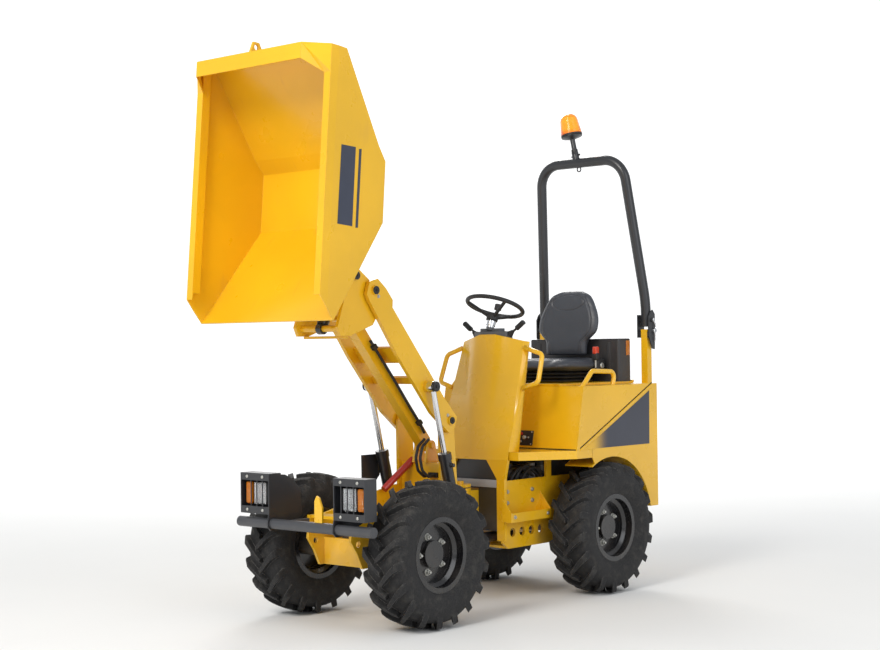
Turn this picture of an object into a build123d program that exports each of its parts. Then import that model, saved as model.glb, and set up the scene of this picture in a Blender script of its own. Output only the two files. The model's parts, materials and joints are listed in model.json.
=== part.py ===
from build123d import *
import math
import os

# Site dumper, 1-tonne high-tip type. Millimetres. -Y is the front, +X the machine's left, +Z up.
# Every place below is measured from the steering pivot's foot: y is rearward, z is up from the ground,
# and x is the distance from the middle plane. The last step moves the whole machine so that the
# origin is under the middle of its bounding box.

# ---- running gear
WHEEL_RADIUS = 336.0
WHEEL_PLANE_X = 387.0
TYRE_WIDTH = 216.0
BEAD_RADIUS = 153.0
RIM_FLANGE_RADIUS = 172.0
RIM_WIDTH = 173.0
RIM_SHEET = 5.0
TYRE_FACETS = 24
LUGS = 18
LUG_HEIGHT = 26.0
LUG_SWEEP = 17.5
LUG_HALF_WIDTH = 15.0
DISC_INSET = 66.0
DISC_THICKNESS = 8.0
HUB_RADIUS = 62.0
FRONT_AXLE_Y = -672.0
REAR_AXLE_Y = 673.0
AXLE_TUBE_RADIUS = 48.0
SEAT_GAP = 0.3
PIN_GAP = 0.3
RUN_GAP = 5.0

# ---- front frame and tower
PLATE = 15.0
CHASSIS_INNER_X = 130.0
CHASSIS_TOP_Z = 600.0
CHASSIS_BOTTOM_Z = 265.0
CHASSIS_REAR_Y = -170.0
NOSE_Y = -910.0
NOSE_HOLE = (-871.0, 380.0)
NOSE_HOLE_RADIUS = 14.0
FRONT_PLATE_Y = -816.0
TOWER_FRONT_Y = -300.0
TOWER_REAR_Y = -180.0
TOWER_BOX_TOP_Z = 711.0
PIN_RADIUS = 15.0
BOSS_RADIUS = 34.0
PIVOT_PIN_RADIUS = 25.0
PIVOT_BOSS_RADIUS = 60.0
YOKE_LOW_Z = 395.0
YOKE_HIGH_Z = 585.0

# ---- bumper and lamps
BUMPER_Y = -1066.0
BUMPER_Z = 469.0
BUMPER_RADIUS = 24.0
BUMPER_HALF = 432.0
GUARD_INNER_X = 208.0
GUARD_OUTER_X = 402.0
GUARD_LOW_Z = 512.0
GUARD_HIGH_Z = 699.0
GUARD_FRONT_Y = -1090.0
GUARD_DEPTH = 75.0
GUARD_BAND = 34.0
GUARD_BAR_RADIUS = 2.8
LENS_BULGE = 120.0
SHEET = 6.0
GUARD_PLATE_X = 246.0

# ---- lift arms, levelling link and carrier
LIFT_PIVOT = (-251.0, 916.0)
ARM_LENGTH = 806.4
RAISED_ANGLE = 50.0
LINK_DROP = 125.0
ARM_INNER_X = 150.0
ARM_OUTER_X = 170.0
LINK_HALF = 27.0
CARRIER_OUTER_X = 145.0
CARRIER_INNER_X = 127.0
SKIP_PIN_FROM_ARM = (-102.0, 66.0)
TILT_BASE_FROM_SKIP_PIN = (-75.0, -240.0)

# ---- skip, in its level position, from the tipping pin: forward of it, and above it
TIPPED_ANGLE = 85.4
SKIP_HALF_TOP = 433.0
SKIP_HALF_FLOOR = 395.0
SKIP_SHEET = 6.0
RIM_BAR = 38.0
RIM_BAR_DEPTH = 45.0
SKIP_RIM_ABOVE = 495.0
SKIP_DEPTH = 398.0
SKIP_REAR = 926.0
SKIP_MOUTH = 1068.0
SKIP_LENGTH = 1171.0
SKIP_BACK_DROP = 98.0
SKIP_FLOOR_START = 440.0
SKIP_FLOOR_END = 713.0
SKIP_LIP_DROP = 91.0
HEADBOARD_RISE = 90.0
HEADBOARD_HALF = 340.0
HEADBOARD_FLANGE = 70.0
CORNER_RUN = 120.0
BRACKET_INNER_X = 92.0
BRACKET_OUTER_X = 112.0
TILT_EYE_FROM_PIN = (170.0, -60.0)

# ---- rams
LIFT_RAM_X = 205.0
LIFT_RAM_BASE = (-271.0, 480.0)
LIFT_EYE_ON_ARM = (238.0, -22.0)
LIFT_BARREL_RADIUS = 29.0
LIFT_ROD_RADIUS = 14.0
LIFT_BARREL_LENGTH = 290.0
LIFT_STROKE = 225.0
TILT_BARREL_RADIUS = 27.0
TILT_ROD_RADIUS = 14.0
TILT_BARREL_LENGTH = 215.0
TILT_STROKE = 150.0
STEER_RAM_Z = 315.0
STEER_BASE = (70.0, 304.0)
STEER_EYE = (110.0, -116.0)
STEER_BARREL_RADIUS = 25.0
STEER_ROD_RADIUS = 12.5
STEER_BARREL_LENGTH = 260.0
STEER_STROKE = 150.0
STEER_OUT = 62.0
ROD_ENGAGED = 40.0
EYE_RADIUS = 26.0
EYE_HALF = 15.0

# ---- rear frame
REAR_PLATE_X = 205.0
REAR_FRONT_Y = 95.0
REAR_END_Y = 1089.0
REAR_BOTTOM_Z = 262.0
REAR_SILL_Z = 600.0
STEP_OUTER_X = 272.0
STEP_FRONT_Y = 76.0
STEP_LENGTH = 325.0
STEP_Z = 405.0
STEP_LIP = 40.0
FLOOR_Z = 745.0
FLOOR_THICKNESS = 42.0
FLOOR_FRONT_HALF = 290.0
BODY_HALF = 459.0
BODY_SHEET = 6.0
BODY_TOP_Z = 1064.0
BODY_FRONT_LOW_Y = 372.0
BODY_FRONT_TOP_Y = 433.0
BODY_REAR_BOTTOM_Z = 417.0
ARCH_RADIUS = 352.0
ARCH_RISE = 10.0
COVER_HALF = 305.0
COVER_FRONT_Y = 440.0
COVER_THICKNESS = 10.0
OPENING_HALF = 285.0
OPENING_FRONT_Y = 460.0
HINGE_Y = 1100.0
HINGE_Z = 1074.0
HINGE_RADIUS = 8.0
GRILLE_SLATS = 11
TOW_PIN_RADIUS = 12.0
HITCH_HALF = 40.0
HITCH_LOW_Z = 420.0
HITCH_HIGH_Z = 480.0

# ---- operator's place
SHIELD_SHEET = 5.0
SHIELD_FOOT_CENTRE = (0.0, 94.0)
SHIELD_FOOT_CORNER = (235.0, 95.0)
SHIELD_FOOT_EDGE = (267.0, 144.0)
SHIELD_TOP_CENTRE = (0.0, 236.0, 1331.0)
SHIELD_TOP_BEND = (50.0, 236.0, 1331.0)
SHIELD_TOP_CORNER = (197.0, 284.0, 1296.0)
SHIELD_TOP_EDGE = (212.0, 312.0, 1292.0)
DASH_Z = 1338.0
DASH_HALF = 108.0
HANDLE_RADIUS = 12.0
WHEEL_CENTRE = (301.0, 1475.0)
WHEEL_TILT = 21.0
WHEEL_DISH = 58.0
STEERING_RING_RADIUS = 156.0
STEERING_RING_TUBE = 11.0
COLUMN_RADIUS = 19.0
SEAT_FRONT_Y = 598.0
SEAT_REAR_Y = 958.0
SEAT_HALF = 217.0
SEAT_CUSHION_Z = BODY_TOP_Z + 66.0
SEAT_TOP_Z = SEAT_CUSHION_Z + 80.0
BACKREST_TOP_Z = SEAT_TOP_Z + 366.0
BACKREST_HALF = 200.0
REAR_BOX_Y = SEAT_REAR_Y + 12.0
REAR_BOX_TOP_Z = SEAT_TOP_Z + 90.0

# ---- roll-over hoop and beacon
POST_X = 345.0
POST_SIZE = 40.0
POST_Y = 1164.0
POST_FOOT_Z = 760.0
POST_TOP_Z = 1352.0
HOOP_RADIUS = 27.0
HOOP_PIN_Z = 1400.0
HOOP_PIN_RADIUS = 10.0
HOOP_SHOULDER_X = 275.0
HOOP_TOP_Z = 2275.0
HOOP_TOP_Y = 1060.0
HOOP_BEND = 130.0
HOOP_LEG_BEND = 900.0
CLEVIS_PLATE = 6.0
STALK_X = -27.0
STALK_LEAN = 12.0
STALK_LENGTH = 125.0
STALK_RADIUS = 14.0
BEACON_RADIUS = 60.0
BEACON_HEIGHT = 130.0
HOSE_RADIUS = 7.0


def block(x0, x1, y0, y1, z0, z1):
    """A box between two corners."""
    size = (x1 - x0, y1 - y0, z1 - z0)
    return Pos((x0 + x1) / 2, (y0 + y1) / 2, (z0 + z1) / 2) * Box(*size)


def plate_x(points, x0, x1):
    """A plate whose outline is given as (y, z), between two x places."""
    outline = make_face(Polyline(*[(x0, y, z) for y, z in points], close=True))
    return extrude(outline, amount=x1 - x0, dir=(1, 0, 0))


def plate_y(points, y0, y1):
    """A plate whose outline is given as (x, z), between two y places."""
    outline = make_face(Polyline(*[(x, y0, z) for x, z in points], close=True))
    return extrude(outline, amount=y1 - y0, dir=(0, 1, 0))


def plate_z(points, z0, z1):
    """A plate whose outline is given as (x, y), between two heights."""
    outline = make_face(Polyline(*[(x, y, z0) for x, y in points], close=True))
    return extrude(outline, amount=z1 - z0, dir=(0, 0, 1))


def rod_x(y, z, x0, x1, radius):
    """A round bar along X."""
    return Pos((x0 + x1) / 2, y, z) * Rot(0, 90, 0) * Cylinder(radius, abs(x1 - x0))


def rod_z(x, y, z0, z1, radius):
    """A round bar along Z."""
    return Pos(x, y, (z0 + z1) / 2) * Cylinder(radius, z1 - z0)


def bar(start, end, radius):
    """A round bar between two points."""
    run = Vector(*end) - Vector(*start)
    plane = Plane(origin=start, z_dir=run.normalized())
    return extrude(plane * Circle(radius), amount=run.length)


def tube(points, radius, bends):
    """A round tube along straight runs joined by arcs."""
    path = FilletPolyline(*points, radius=bends)
    start = Plane(origin=path @ 0, z_dir=path % 0)
    return sweep(start * Circle(radius), path=path)


def flat(corners):
    """A flat face through its corners."""
    return Face(Wire.make_polygon([Vector(*corner) for corner in corners]))


def both_sides(shape):
    """The shape and its mirror image across the middle plane, fused where they meet."""
    return shape + mirror(shape, about=Plane.YZ)



def turned(point, angle):
    """A (y, z) offset turned about the X axis."""
    a = math.radians(angle)
    return (
        point[0] * math.cos(a) - point[1] * math.sin(a),
        point[0] * math.sin(a) + point[1] * math.cos(a),
    )


def added(a, b):
    """The sum of two (y, z) pairs."""
    return (a[0] + b[0], a[1] + b[1])


# ---- places that follow from the sizes above
ARM_TOP = added(LIFT_PIVOT, turned((-ARM_LENGTH, 0), -RAISED_ANGLE))
LINK_PIVOT = added(LIFT_PIVOT, (0, -LINK_DROP))
LINK_TOP = added(ARM_TOP, (0, -LINK_DROP))
SKIP_PIN = added(ARM_TOP, SKIP_PIN_FROM_ARM)
TILT_BASE = added(SKIP_PIN, TILT_BASE_FROM_SKIP_PIN)
TILT_EYE = added(SKIP_PIN, turned(TILT_EYE_FROM_PIN, TIPPED_ANGLE))
LIFT_EYE = added(LIFT_PIVOT, turned((-LIFT_EYE_ON_ARM[0], LIFT_EYE_ON_ARM[1]), -RAISED_ANGLE))
AXLE_END_X = WHEEL_PLANE_X + RIM_WIDTH / 2 - DISC_INSET - DISC_THICKNESS
POST_REAR = POST_Y + POST_SIZE / 2
HITCH_PIN_Y = REAR_END_Y + 28
WHEEL_AXIS = (0, math.sin(math.radians(WHEEL_TILT)), math.cos(math.radians(WHEEL_TILT)))


def around(radius, x, angle):
    """The point at a radius and an angle about the X axis."""
    y, z = turned((0, radius), angle)
    return (x, y, z)


def carcass():
    """The tyre without its lugs: one bead-to-bead section about the axle, in flat facets."""
    half = TYRE_WIDTH / 2
    bead = RIM_WIDTH / 2 - RIM_SHEET - SEAT_GAP
    crown = WHEEL_RADIUS - LUG_HEIGHT
    seat = BEAD_RADIUS / math.cos(math.pi / TYRE_FACETS)
    flank = [(bead, seat), (bead, RIM_FLANGE_RADIUS + 2)]
    flank += [(half, RIM_FLANGE_RADIUS + 52), (half * 0.94, crown - 10)]
    profile = flank + [(-x, radius) for x, radius in reversed(flank)]
    faces = []
    for k in range(TYRE_FACETS):
        a, b = 360 * k / TYRE_FACETS, 360 * (k + 1) / TYRE_FACETS
        for (x0, r0), (x1, r1) in zip(profile, profile[1:] + profile[:1]):
            faces.append(flat([around(r0, x0, a), around(r1, x1, a), around(r1, x1, b), around(r0, x0, b)]))
    return Solid(Shell(faces))


def lug(side, start):
    """One tread lug from the middle of the tread back to its shoulder."""
    crown = WHEEL_RADIUS - LUG_HEIGHT
    tip = math.degrees(LUG_HALF_WIDTH / WHEEL_RADIUS)
    foot = tip * 1.45
    top = WHEEL_RADIUS / math.cos(math.radians(tip))
    rings = []
    # columns: distance from the middle plane, angle, foot radius, tip radius
    for x, angle, low, high in (
        (-4, start, crown - 12, top),
        (TYRE_WIDTH * 0.45, start - LUG_SWEEP, crown - 14, top - 10),
    ):
        edges = ((low, -foot), (high, -tip), (high, tip), (low, foot))
        rings.append([around(radius, side * x, angle + turn) for radius, turn in edges])
    near, far = rings
    faces = [flat(ring[:3]) for ring in rings] + [flat([ring[0], *ring[2:]]) for ring in rings]
    for i in range(4):
        j = (i + 1) % 4
        faces += [flat([near[i], near[j], far[j]]), flat([near[i], far[j], far[i]])]
    return Solid(Shell(faces))


def tyre():
    """A pneumatic tyre about the X axis, with a row of slanting lugs on each half of its tread."""
    pitch = 360 / LUGS
    lugs = []
    for k in range(LUGS):
        lugs += [lug(1, k * pitch), lug(-1, (k + 0.5) * pitch)]
    return carcass().fuse(*lugs)


def rim(side, axle_y):
    """A steel rim with a deep-set disc, a hub cap and wheel nuts."""
    half = RIM_WIDTH / 2
    seat = BEAD_RADIUS - SEAT_GAP
    flange = RIM_FLANGE_RADIUS
    well = seat - 18
    profile = [
        (half, flange),
        (half - RIM_SHEET, flange),
        (half - RIM_SHEET, seat),
        (half - 36, seat),
        (half - 48, well),
        (-half + 36, well),
        (-half + 24, seat),
        (-half + RIM_SHEET, seat),
        (-half + RIM_SHEET, flange),
        (-half, flange),
        (-half, seat - RIM_SHEET),
        (-half + 22, seat - RIM_SHEET),
        (-half + 34, well - RIM_SHEET),
        (half - 50, well - RIM_SHEET),
        (half - 38, seat - RIM_SHEET),
        (half, seat - RIM_SHEET),
    ]
    section = make_face(Polyline(*[(x, r, 0) for x, r in profile], close=True))
    wheel = revolve(section, axis=Axis.X)
    disc_x = half - DISC_INSET - DISC_THICKNESS
    wheel += rod_x(0, 0, disc_x, disc_x + DISC_THICKNESS, well - RIM_SHEET + 1)
    wheel += rod_x(0, 0, disc_x + DISC_THICKNESS, disc_x + DISC_THICKNESS + 22, HUB_RADIUS)
    if side < 0:
        wheel = mirror(wheel, about=Plane.YZ)
    return Pos(side * WHEEL_PLANE_X, axle_y, WHEEL_RADIUS) * wheel


def axle(axle_y, plate_x_place):
    """The axle tube with a wheel motor at each end."""
    end = AXLE_END_X - SEAT_GAP
    beam = rod_x(axle_y, WHEEL_RADIUS, -end, end, AXLE_TUBE_RADIUS)
    motor = rod_x(axle_y, WHEEL_RADIUS, plate_x_place + 30, end, HUB_RADIUS)
    flange = rod_x(axle_y, WHEEL_RADIUS, plate_x_place, plate_x_place + 30, HUB_RADIUS + 14)
    return beam + both_sides(motor + flange)


def front_side_plates():
    """The two side plates of the front frame, each with its lift ram's foot."""
    outer = CHASSIS_INNER_X + PLATE
    side = plate_x(
        [
            (NOSE_Y, 450),
            (NOSE_Y - 8, 395),
            (NOSE_Y + 33, 335),
            (NOSE_Y + 67, CHASSIS_BOTTOM_Z),
            (CHASSIS_REAR_Y, CHASSIS_BOTTOM_Z),
            (CHASSIS_REAR_Y, CHASSIS_TOP_Z),
            (TOWER_FRONT_Y - 40, CHASSIS_TOP_Z),
            (FRONT_PLATE_Y, 500),
            (NOSE_Y, 500),
        ],
        CHASSIS_INNER_X,
        outer,
    )
    side -= rod_x(FRONT_AXLE_Y, WHEEL_RADIUS, 0, 200, AXLE_TUBE_RADIUS + SEAT_GAP)
    side -= rod_x(NOSE_HOLE[0], NOSE_HOLE[1], 0, 200, NOSE_HOLE_RADIUS)
    base_y, base_z = LIFT_RAM_BASE
    near = LIFT_RAM_X - EYE_HALF - PIN_GAP
    side += plate_x(
        [
            (base_y - 60, CHASSIS_BOTTOM_Z + 80),
            (base_y + 50, CHASSIS_BOTTOM_Z + 80),
            (base_y + 30, base_z + 20),
            (base_y - 30, base_z + 20),
        ],
        outer - 1,
        LIFT_RAM_X - LIFT_BARREL_RADIUS - RUN_GAP,
    )
    side += rod_x(base_y, base_z, outer, near, PIN_RADIUS + 3)
    side += rod_x(base_y, base_z, near - 1, LIFT_RAM_X + EYE_HALF + 10, PIN_RADIUS)
    return both_sides(side)


def front_cross_plates():
    """The plates that tie the front frame's side plates: nose shelf, front plate and belly plate."""
    half = CHASSIS_INNER_X
    belly = block(-half, half, FRONT_PLATE_Y, TOWER_FRONT_Y, CHASSIS_BOTTOM_Z, CHASSIS_BOTTOM_Z + 12)
    belly += block(-half, half, FRONT_PLATE_Y, FRONT_PLATE_Y + PLATE, CHASSIS_BOTTOM_Z, 390)
    shelf = block(-half, half, NOSE_Y + 12, FRONT_PLATE_Y, 486, 500)
    return Compound(children=[*belly.solids(), *shelf.solids(), *bumper_lug().solids()])


def lift_tower():
    """The tower that carries the arms and the levelling link: two plates on a box, with lugs."""
    outer = CHASSIS_INNER_X + PLATE
    pivot_y, pivot_z = LIFT_PIVOT
    side = plate_x(
        [
            (TOWER_FRONT_Y, CHASSIS_TOP_Z),
            (TOWER_REAR_Y, CHASSIS_TOP_Z),
            (TOWER_REAR_Y - 22, pivot_z),
            (TOWER_FRONT_Y - 3, pivot_z),
        ],
        CHASSIS_INNER_X,
        outer,
    )
    side += rod_x(pivot_y, pivot_z, CHASSIS_INNER_X, outer, BOSS_RADIUS + 12)
    side += rod_x(pivot_y, pivot_z, outer, ARM_OUTER_X + 8, PIN_RADIUS)
    side += rod_x(pivot_y, pivot_z, ARM_OUTER_X + PIN_GAP, ARM_OUTER_X + 8, PIN_RADIUS + 7)
    lug_y, lug_z = LINK_PIVOT
    near, far = LINK_HALF + RUN_GAP, LINK_HALF + RUN_GAP + 14
    lug = plate_x(
        [
            (lug_y - 45, TOWER_BOX_TOP_Z - 1),
            (lug_y + 45, TOWER_BOX_TOP_Z - 1),
            (lug_y + 26, lug_z),
            (lug_y - 26, lug_z),
        ],
        near,
        far,
    )
    lug += rod_x(lug_y, lug_z, near, far, 26)
    tower = both_sides(side + lug)
    tower += rod_x(lug_y, lug_z, -LINK_HALF - 30, LINK_HALF + 30, PIN_RADIUS)
    y0, y1 = TOWER_FRONT_Y + 24, CHASSIS_REAR_Y - PLATE
    tower += block(-CHASSIS_INNER_X, CHASSIS_INNER_X, y0, y1, CHASSIS_TOP_Z - 80, TOWER_BOX_TOP_Z)
    return tower + block(-outer + 1, outer - 1, y0, y1, CHASSIS_TOP_Z, TOWER_BOX_TOP_Z)


def steer_yoke():
    """The front frame's rear wall with the yoke, the upright pivot pin and the steering ram's ears."""
    half = CHASSIS_INNER_X
    frame = block(-half, half, CHASSIS_REAR_Y - PLATE, CHASSIS_REAR_Y, CHASSIS_BOTTOM_Z, CHASSIS_TOP_Z)
    for z in (YOKE_LOW_Z, YOKE_HIGH_Z - PLATE):
        yoke = plate_z(
            [
                (-105, CHASSIS_REAR_Y - 1),
                (105, CHASSIS_REAR_Y - 1),
                (PIVOT_BOSS_RADIUS - 8, 0),
                (-PIVOT_BOSS_RADIUS + 8, 0),
            ],
            z,
            z + PLATE,
        )
        frame += yoke + rod_z(0, 0, z, z + PLATE, PIVOT_BOSS_RADIUS)
    frame += rod_z(0, 0, YOKE_LOW_Z - 14, YOKE_HIGH_Z + 14, PIVOT_PIN_RADIUS)
    eye_x, eye_y = STEER_EYE
    gap = EYE_HALF + PIN_GAP
    for z in (STEER_RAM_Z - gap - 12, STEER_RAM_Z + gap):
        ear = plate_z(
            [
                (eye_x - 60, CHASSIS_REAR_Y - 1),
                (eye_x + 5, CHASSIS_REAR_Y - 1),
                (eye_x + EYE_RADIUS, eye_y),
                (eye_x - EYE_RADIUS, eye_y),
            ],
            z,
            z + 12,
        )
        frame += ear + rod_z(eye_x, eye_y, z, z + 12, EYE_RADIUS)
    return frame


def lamp_guards():
    """The sheet guards: one with three thin bars round each front lamp, and one by the lift ram."""
    low, high = GUARD_LOW_Z, GUARD_HIGH_Z
    band = GUARD_BAND
    y0, y1 = GUARD_FRONT_Y, GUARD_FRONT_Y + GUARD_DEPTH
    shell = block(GUARD_INNER_X, GUARD_OUTER_X, y0, y1, low, high)
    inner = GUARD_INNER_X + SHEET
    shell -= block(inner, GUARD_OUTER_X - SHEET, y0 - 1, y1 - SHEET, low + SHEET, high - SHEET)
    for z0, z1 in ((low, low + band), (high - band, high)):
        shell += block(GUARD_INNER_X, GUARD_OUTER_X, y0, y0 + SHEET, z0, z1)
    for share in (0.24, 0.44, 0.64):
        x = GUARD_INNER_X + share * (GUARD_OUTER_X - GUARD_INNER_X)
        shell += rod_z(x, y0 + SHEET / 2, low + band - 2, high - band + 2, GUARD_BAR_RADIUS)
    bracket = plate_x(
        [
            (y0 - 8, BUMPER_Z + 14),
            (y0 - 8, BUMPER_Z - 14),
            (y0 + 10, BUMPER_Z - BUMPER_RADIUS - 8),
            (BUMPER_Y + BUMPER_RADIUS + 10, BUMPER_Z - BUMPER_RADIUS - 8),
            (y0 + 208, low - 18),
            (y0 + 197, low + 98),
            (y0 + 160, high - 40),
            (y0 + 103, high - 10),
            (y0, high),
            (y0, low),
        ],
        GUARD_INNER_X,
        GUARD_INNER_X + SHEET,
    )
    bracket -= rod_x(BUMPER_Y, BUMPER_Z, 0, 300, BUMPER_RADIUS + SEAT_GAP)
    guards = both_sides(shell + bracket)
    return Compound(children=[*guards.solids(), *guard_plate().solids()])


def lamp(x0, width, front, half_height, bulge):
    """A lamp in its case, with a lens that bulges forward."""
    mid_x, mid_z = x0 + width / 2, (GUARD_LOW_Z + GUARD_HIGH_Z) / 2
    low, high = mid_z - half_height, mid_z + half_height
    case = block(x0, x0 + width, front + 12, GUARD_FRONT_Y + GUARD_DEPTH - SHEET, low, high)
    lens = block(x0 + 3, x0 + width - 3, front, front + 13, low + 3, high - 3)
    return both_sides(case + (lens & rod_z(mid_x, front + bulge, low, high, bulge)))


def headlamps():
    """A square headlamp in each guard."""
    return lamp(GUARD_INNER_X + 40, 84, GUARD_FRONT_Y + 18, 52, LENS_BULGE)


def indicators():
    """An amber indicator outboard of each headlamp."""
    return lamp(GUARD_INNER_X + 132, 44, GUARD_FRONT_Y + 12, 55, LENS_BULGE / 3)


def bumper():
    """The front bumper tube and its two stays to the chassis."""
    rail = rod_x(BUMPER_Y, BUMPER_Z, -BUMPER_HALF, BUMPER_HALF, BUMPER_RADIUS)
    stay = block(CHASSIS_INNER_X, CHASSIS_INNER_X + PLATE, BUMPER_Y, NOSE_Y, 452, 486)
    return rail + both_sides(stay)


def lift_arms():
    """Two arm plates tied by two cross plates."""
    outline = [
        (-38, -48),
        (120, -80),
        (480, -80),
        (790, -58),
        (ARM_LENGTH + 20, -52),
        (ARM_LENGTH + 52, 0),
        (ARM_LENGTH + 28, 50),
        (ARM_LENGTH - 40, 64),
        (ARM_LENGTH - 110, 64),
        (ARM_LENGTH - 135, 40),
        (120, 36),
        (-20, 44),
        (-46, 0),
    ]
    arm = plate_x([(-s, t) for s, t in outline], ARM_INNER_X, ARM_OUTER_X)
    arm -= rod_x(0, 0, 0, 300, PIN_RADIUS + PIN_GAP)
    arm -= rod_x(-ARM_LENGTH, 0, 0, 300, PIN_RADIUS + PIN_GAP)
    eye_s, eye_t = LIFT_EYE_ON_ARM
    arm += rod_x(-eye_s, eye_t, ARM_OUTER_X - 1, LIFT_RAM_X - EYE_HALF - PIN_GAP, BOSS_RADIUS - 6)
    arms = both_sides(arm)
    span = ARM_INNER_X + 1
    for s, width in ((262, 40), (395, 92)):
        tie = [(-s, -34), (-s - width, -34), (-s - width, -20), (-s, -20)]
        arms += plate_x(tie, -span, span)
    return Pos(0, *LIFT_PIVOT) * Rot(-RAISED_ANGLE, 0, 0) * arms


def level_link():
    """The box-section link under the arms that keeps the carrier upright."""
    beam = plate_x(
        [(-20, -30), (-ARM_LENGTH + 60, -30), (-ARM_LENGTH, -26), (-ARM_LENGTH, 26), (-ARM_LENGTH + 60, 30), (-20, 30)],
        -LINK_HALF,
        LINK_HALF,
    )
    beam += rod_x(0, 0, -LINK_HALF, LINK_HALF, 30) + rod_x(-ARM_LENGTH, 0, -LINK_HALF, LINK_HALF, 26)
    beam -= rod_x(0, 0, -50, 50, PIN_RADIUS + PIN_GAP)
    beam -= rod_x(-ARM_LENGTH, 0, -50, 50, PIN_RADIUS + PIN_GAP)
    return Pos(0, *LINK_PIVOT) * Rot(-RAISED_ANGLE, 0, 0) * beam


def carrier():
    """The two-plate carrier at the arms' top, with the tipping pin and the tilt ram's foot."""
    top, pin, link, base = ARM_TOP, SKIP_PIN, LINK_TOP, TILT_BASE
    outline = [
        (pin[0] - 32, pin[1] + 8),
        (pin[0] - 8, pin[1] + 34),
        (pin[0] + 30, pin[1] + 26),
        (top[0] + 22, top[1] + 26),
        (top[0] + 36, top[1] - 4),
        (link[0] + 34, link[1]),
        (link[0] + 10, link[1] - 34),
        (base[0] + 40, base[1] - 34),
        (base[0] - 22, base[1] - 34),
        (base[0] - 40, base[1] + 6),
    ]
    side = plate_x(outline, CARRIER_INNER_X, CARRIER_OUTER_X)
    side += rod_x(*top, CARRIER_OUTER_X - 1, ARM_OUTER_X + 8, PIN_RADIUS)
    side += rod_x(*top, ARM_OUTER_X + PIN_GAP, ARM_OUTER_X + 8, PIN_RADIUS + 7)
    side += rod_x(*pin, BRACKET_INNER_X - 10, CARRIER_OUTER_X + 10, PIN_RADIUS)
    frame = both_sides(side)
    frame += rod_x(*link, -CARRIER_INNER_X - 1, CARRIER_INNER_X + 1, PIN_RADIUS)
    frame += rod_x(*base, -CARRIER_INNER_X - 1, CARRIER_INNER_X + 1, PIN_RADIUS)
    frame += block(-CARRIER_INNER_X - 1, CARRIER_INNER_X + 1, base[0] + 10, base[0] + 40, base[1] - 46, base[1] - 34)
    return frame


def skip_form(grow, floor_grow):
    """The skip's outside, made smaller on every side by a negative growth."""
    rim_z = SKIP_RIM_ABOVE
    rear_y = SKIP_REAR + grow
    profile = [
        (rear_y, rim_z + 400),
        (rear_y, rim_z - SKIP_BACK_DROP - floor_grow * 0.6),
        (SKIP_REAR - SKIP_FLOOR_START + 60, rim_z - SKIP_DEPTH + 50 - floor_grow * 1.15),
        (SKIP_REAR - SKIP_FLOOR_START, rim_z - SKIP_DEPTH - floor_grow),
        (SKIP_REAR - SKIP_FLOOR_END + floor_grow * 0.3, rim_z - SKIP_DEPTH - floor_grow),
        (SKIP_REAR - SKIP_LENGTH - 1000, rim_z - SKIP_LIP_DROP + 1000 * SLOPE_RISE - floor_grow * 1.2),
        (SKIP_REAR - SKIP_LENGTH - 1000, rim_z + 400),
    ]
    top, floor = SKIP_HALF_TOP + grow, SKIP_HALF_FLOOR + grow
    section = [
        (-top, rim_z + 400),
        (-top, rim_z - RIM_BAR_DEPTH),
        (-floor, rim_z - SKIP_DEPTH - 20),
        (floor, rim_z - SKIP_DEPTH - 20),
        (top, rim_z - RIM_BAR_DEPTH),
        (top, rim_z + 400),
    ]
    return plate_x(profile, -600, 600) & plate_y(section, SKIP_REAR - SKIP_LENGTH - 1000, SKIP_REAR + 100)


SLOPE_RISE = (SKIP_DEPTH - SKIP_LIP_DROP) / (SKIP_LENGTH - SKIP_FLOOR_END)


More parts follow.
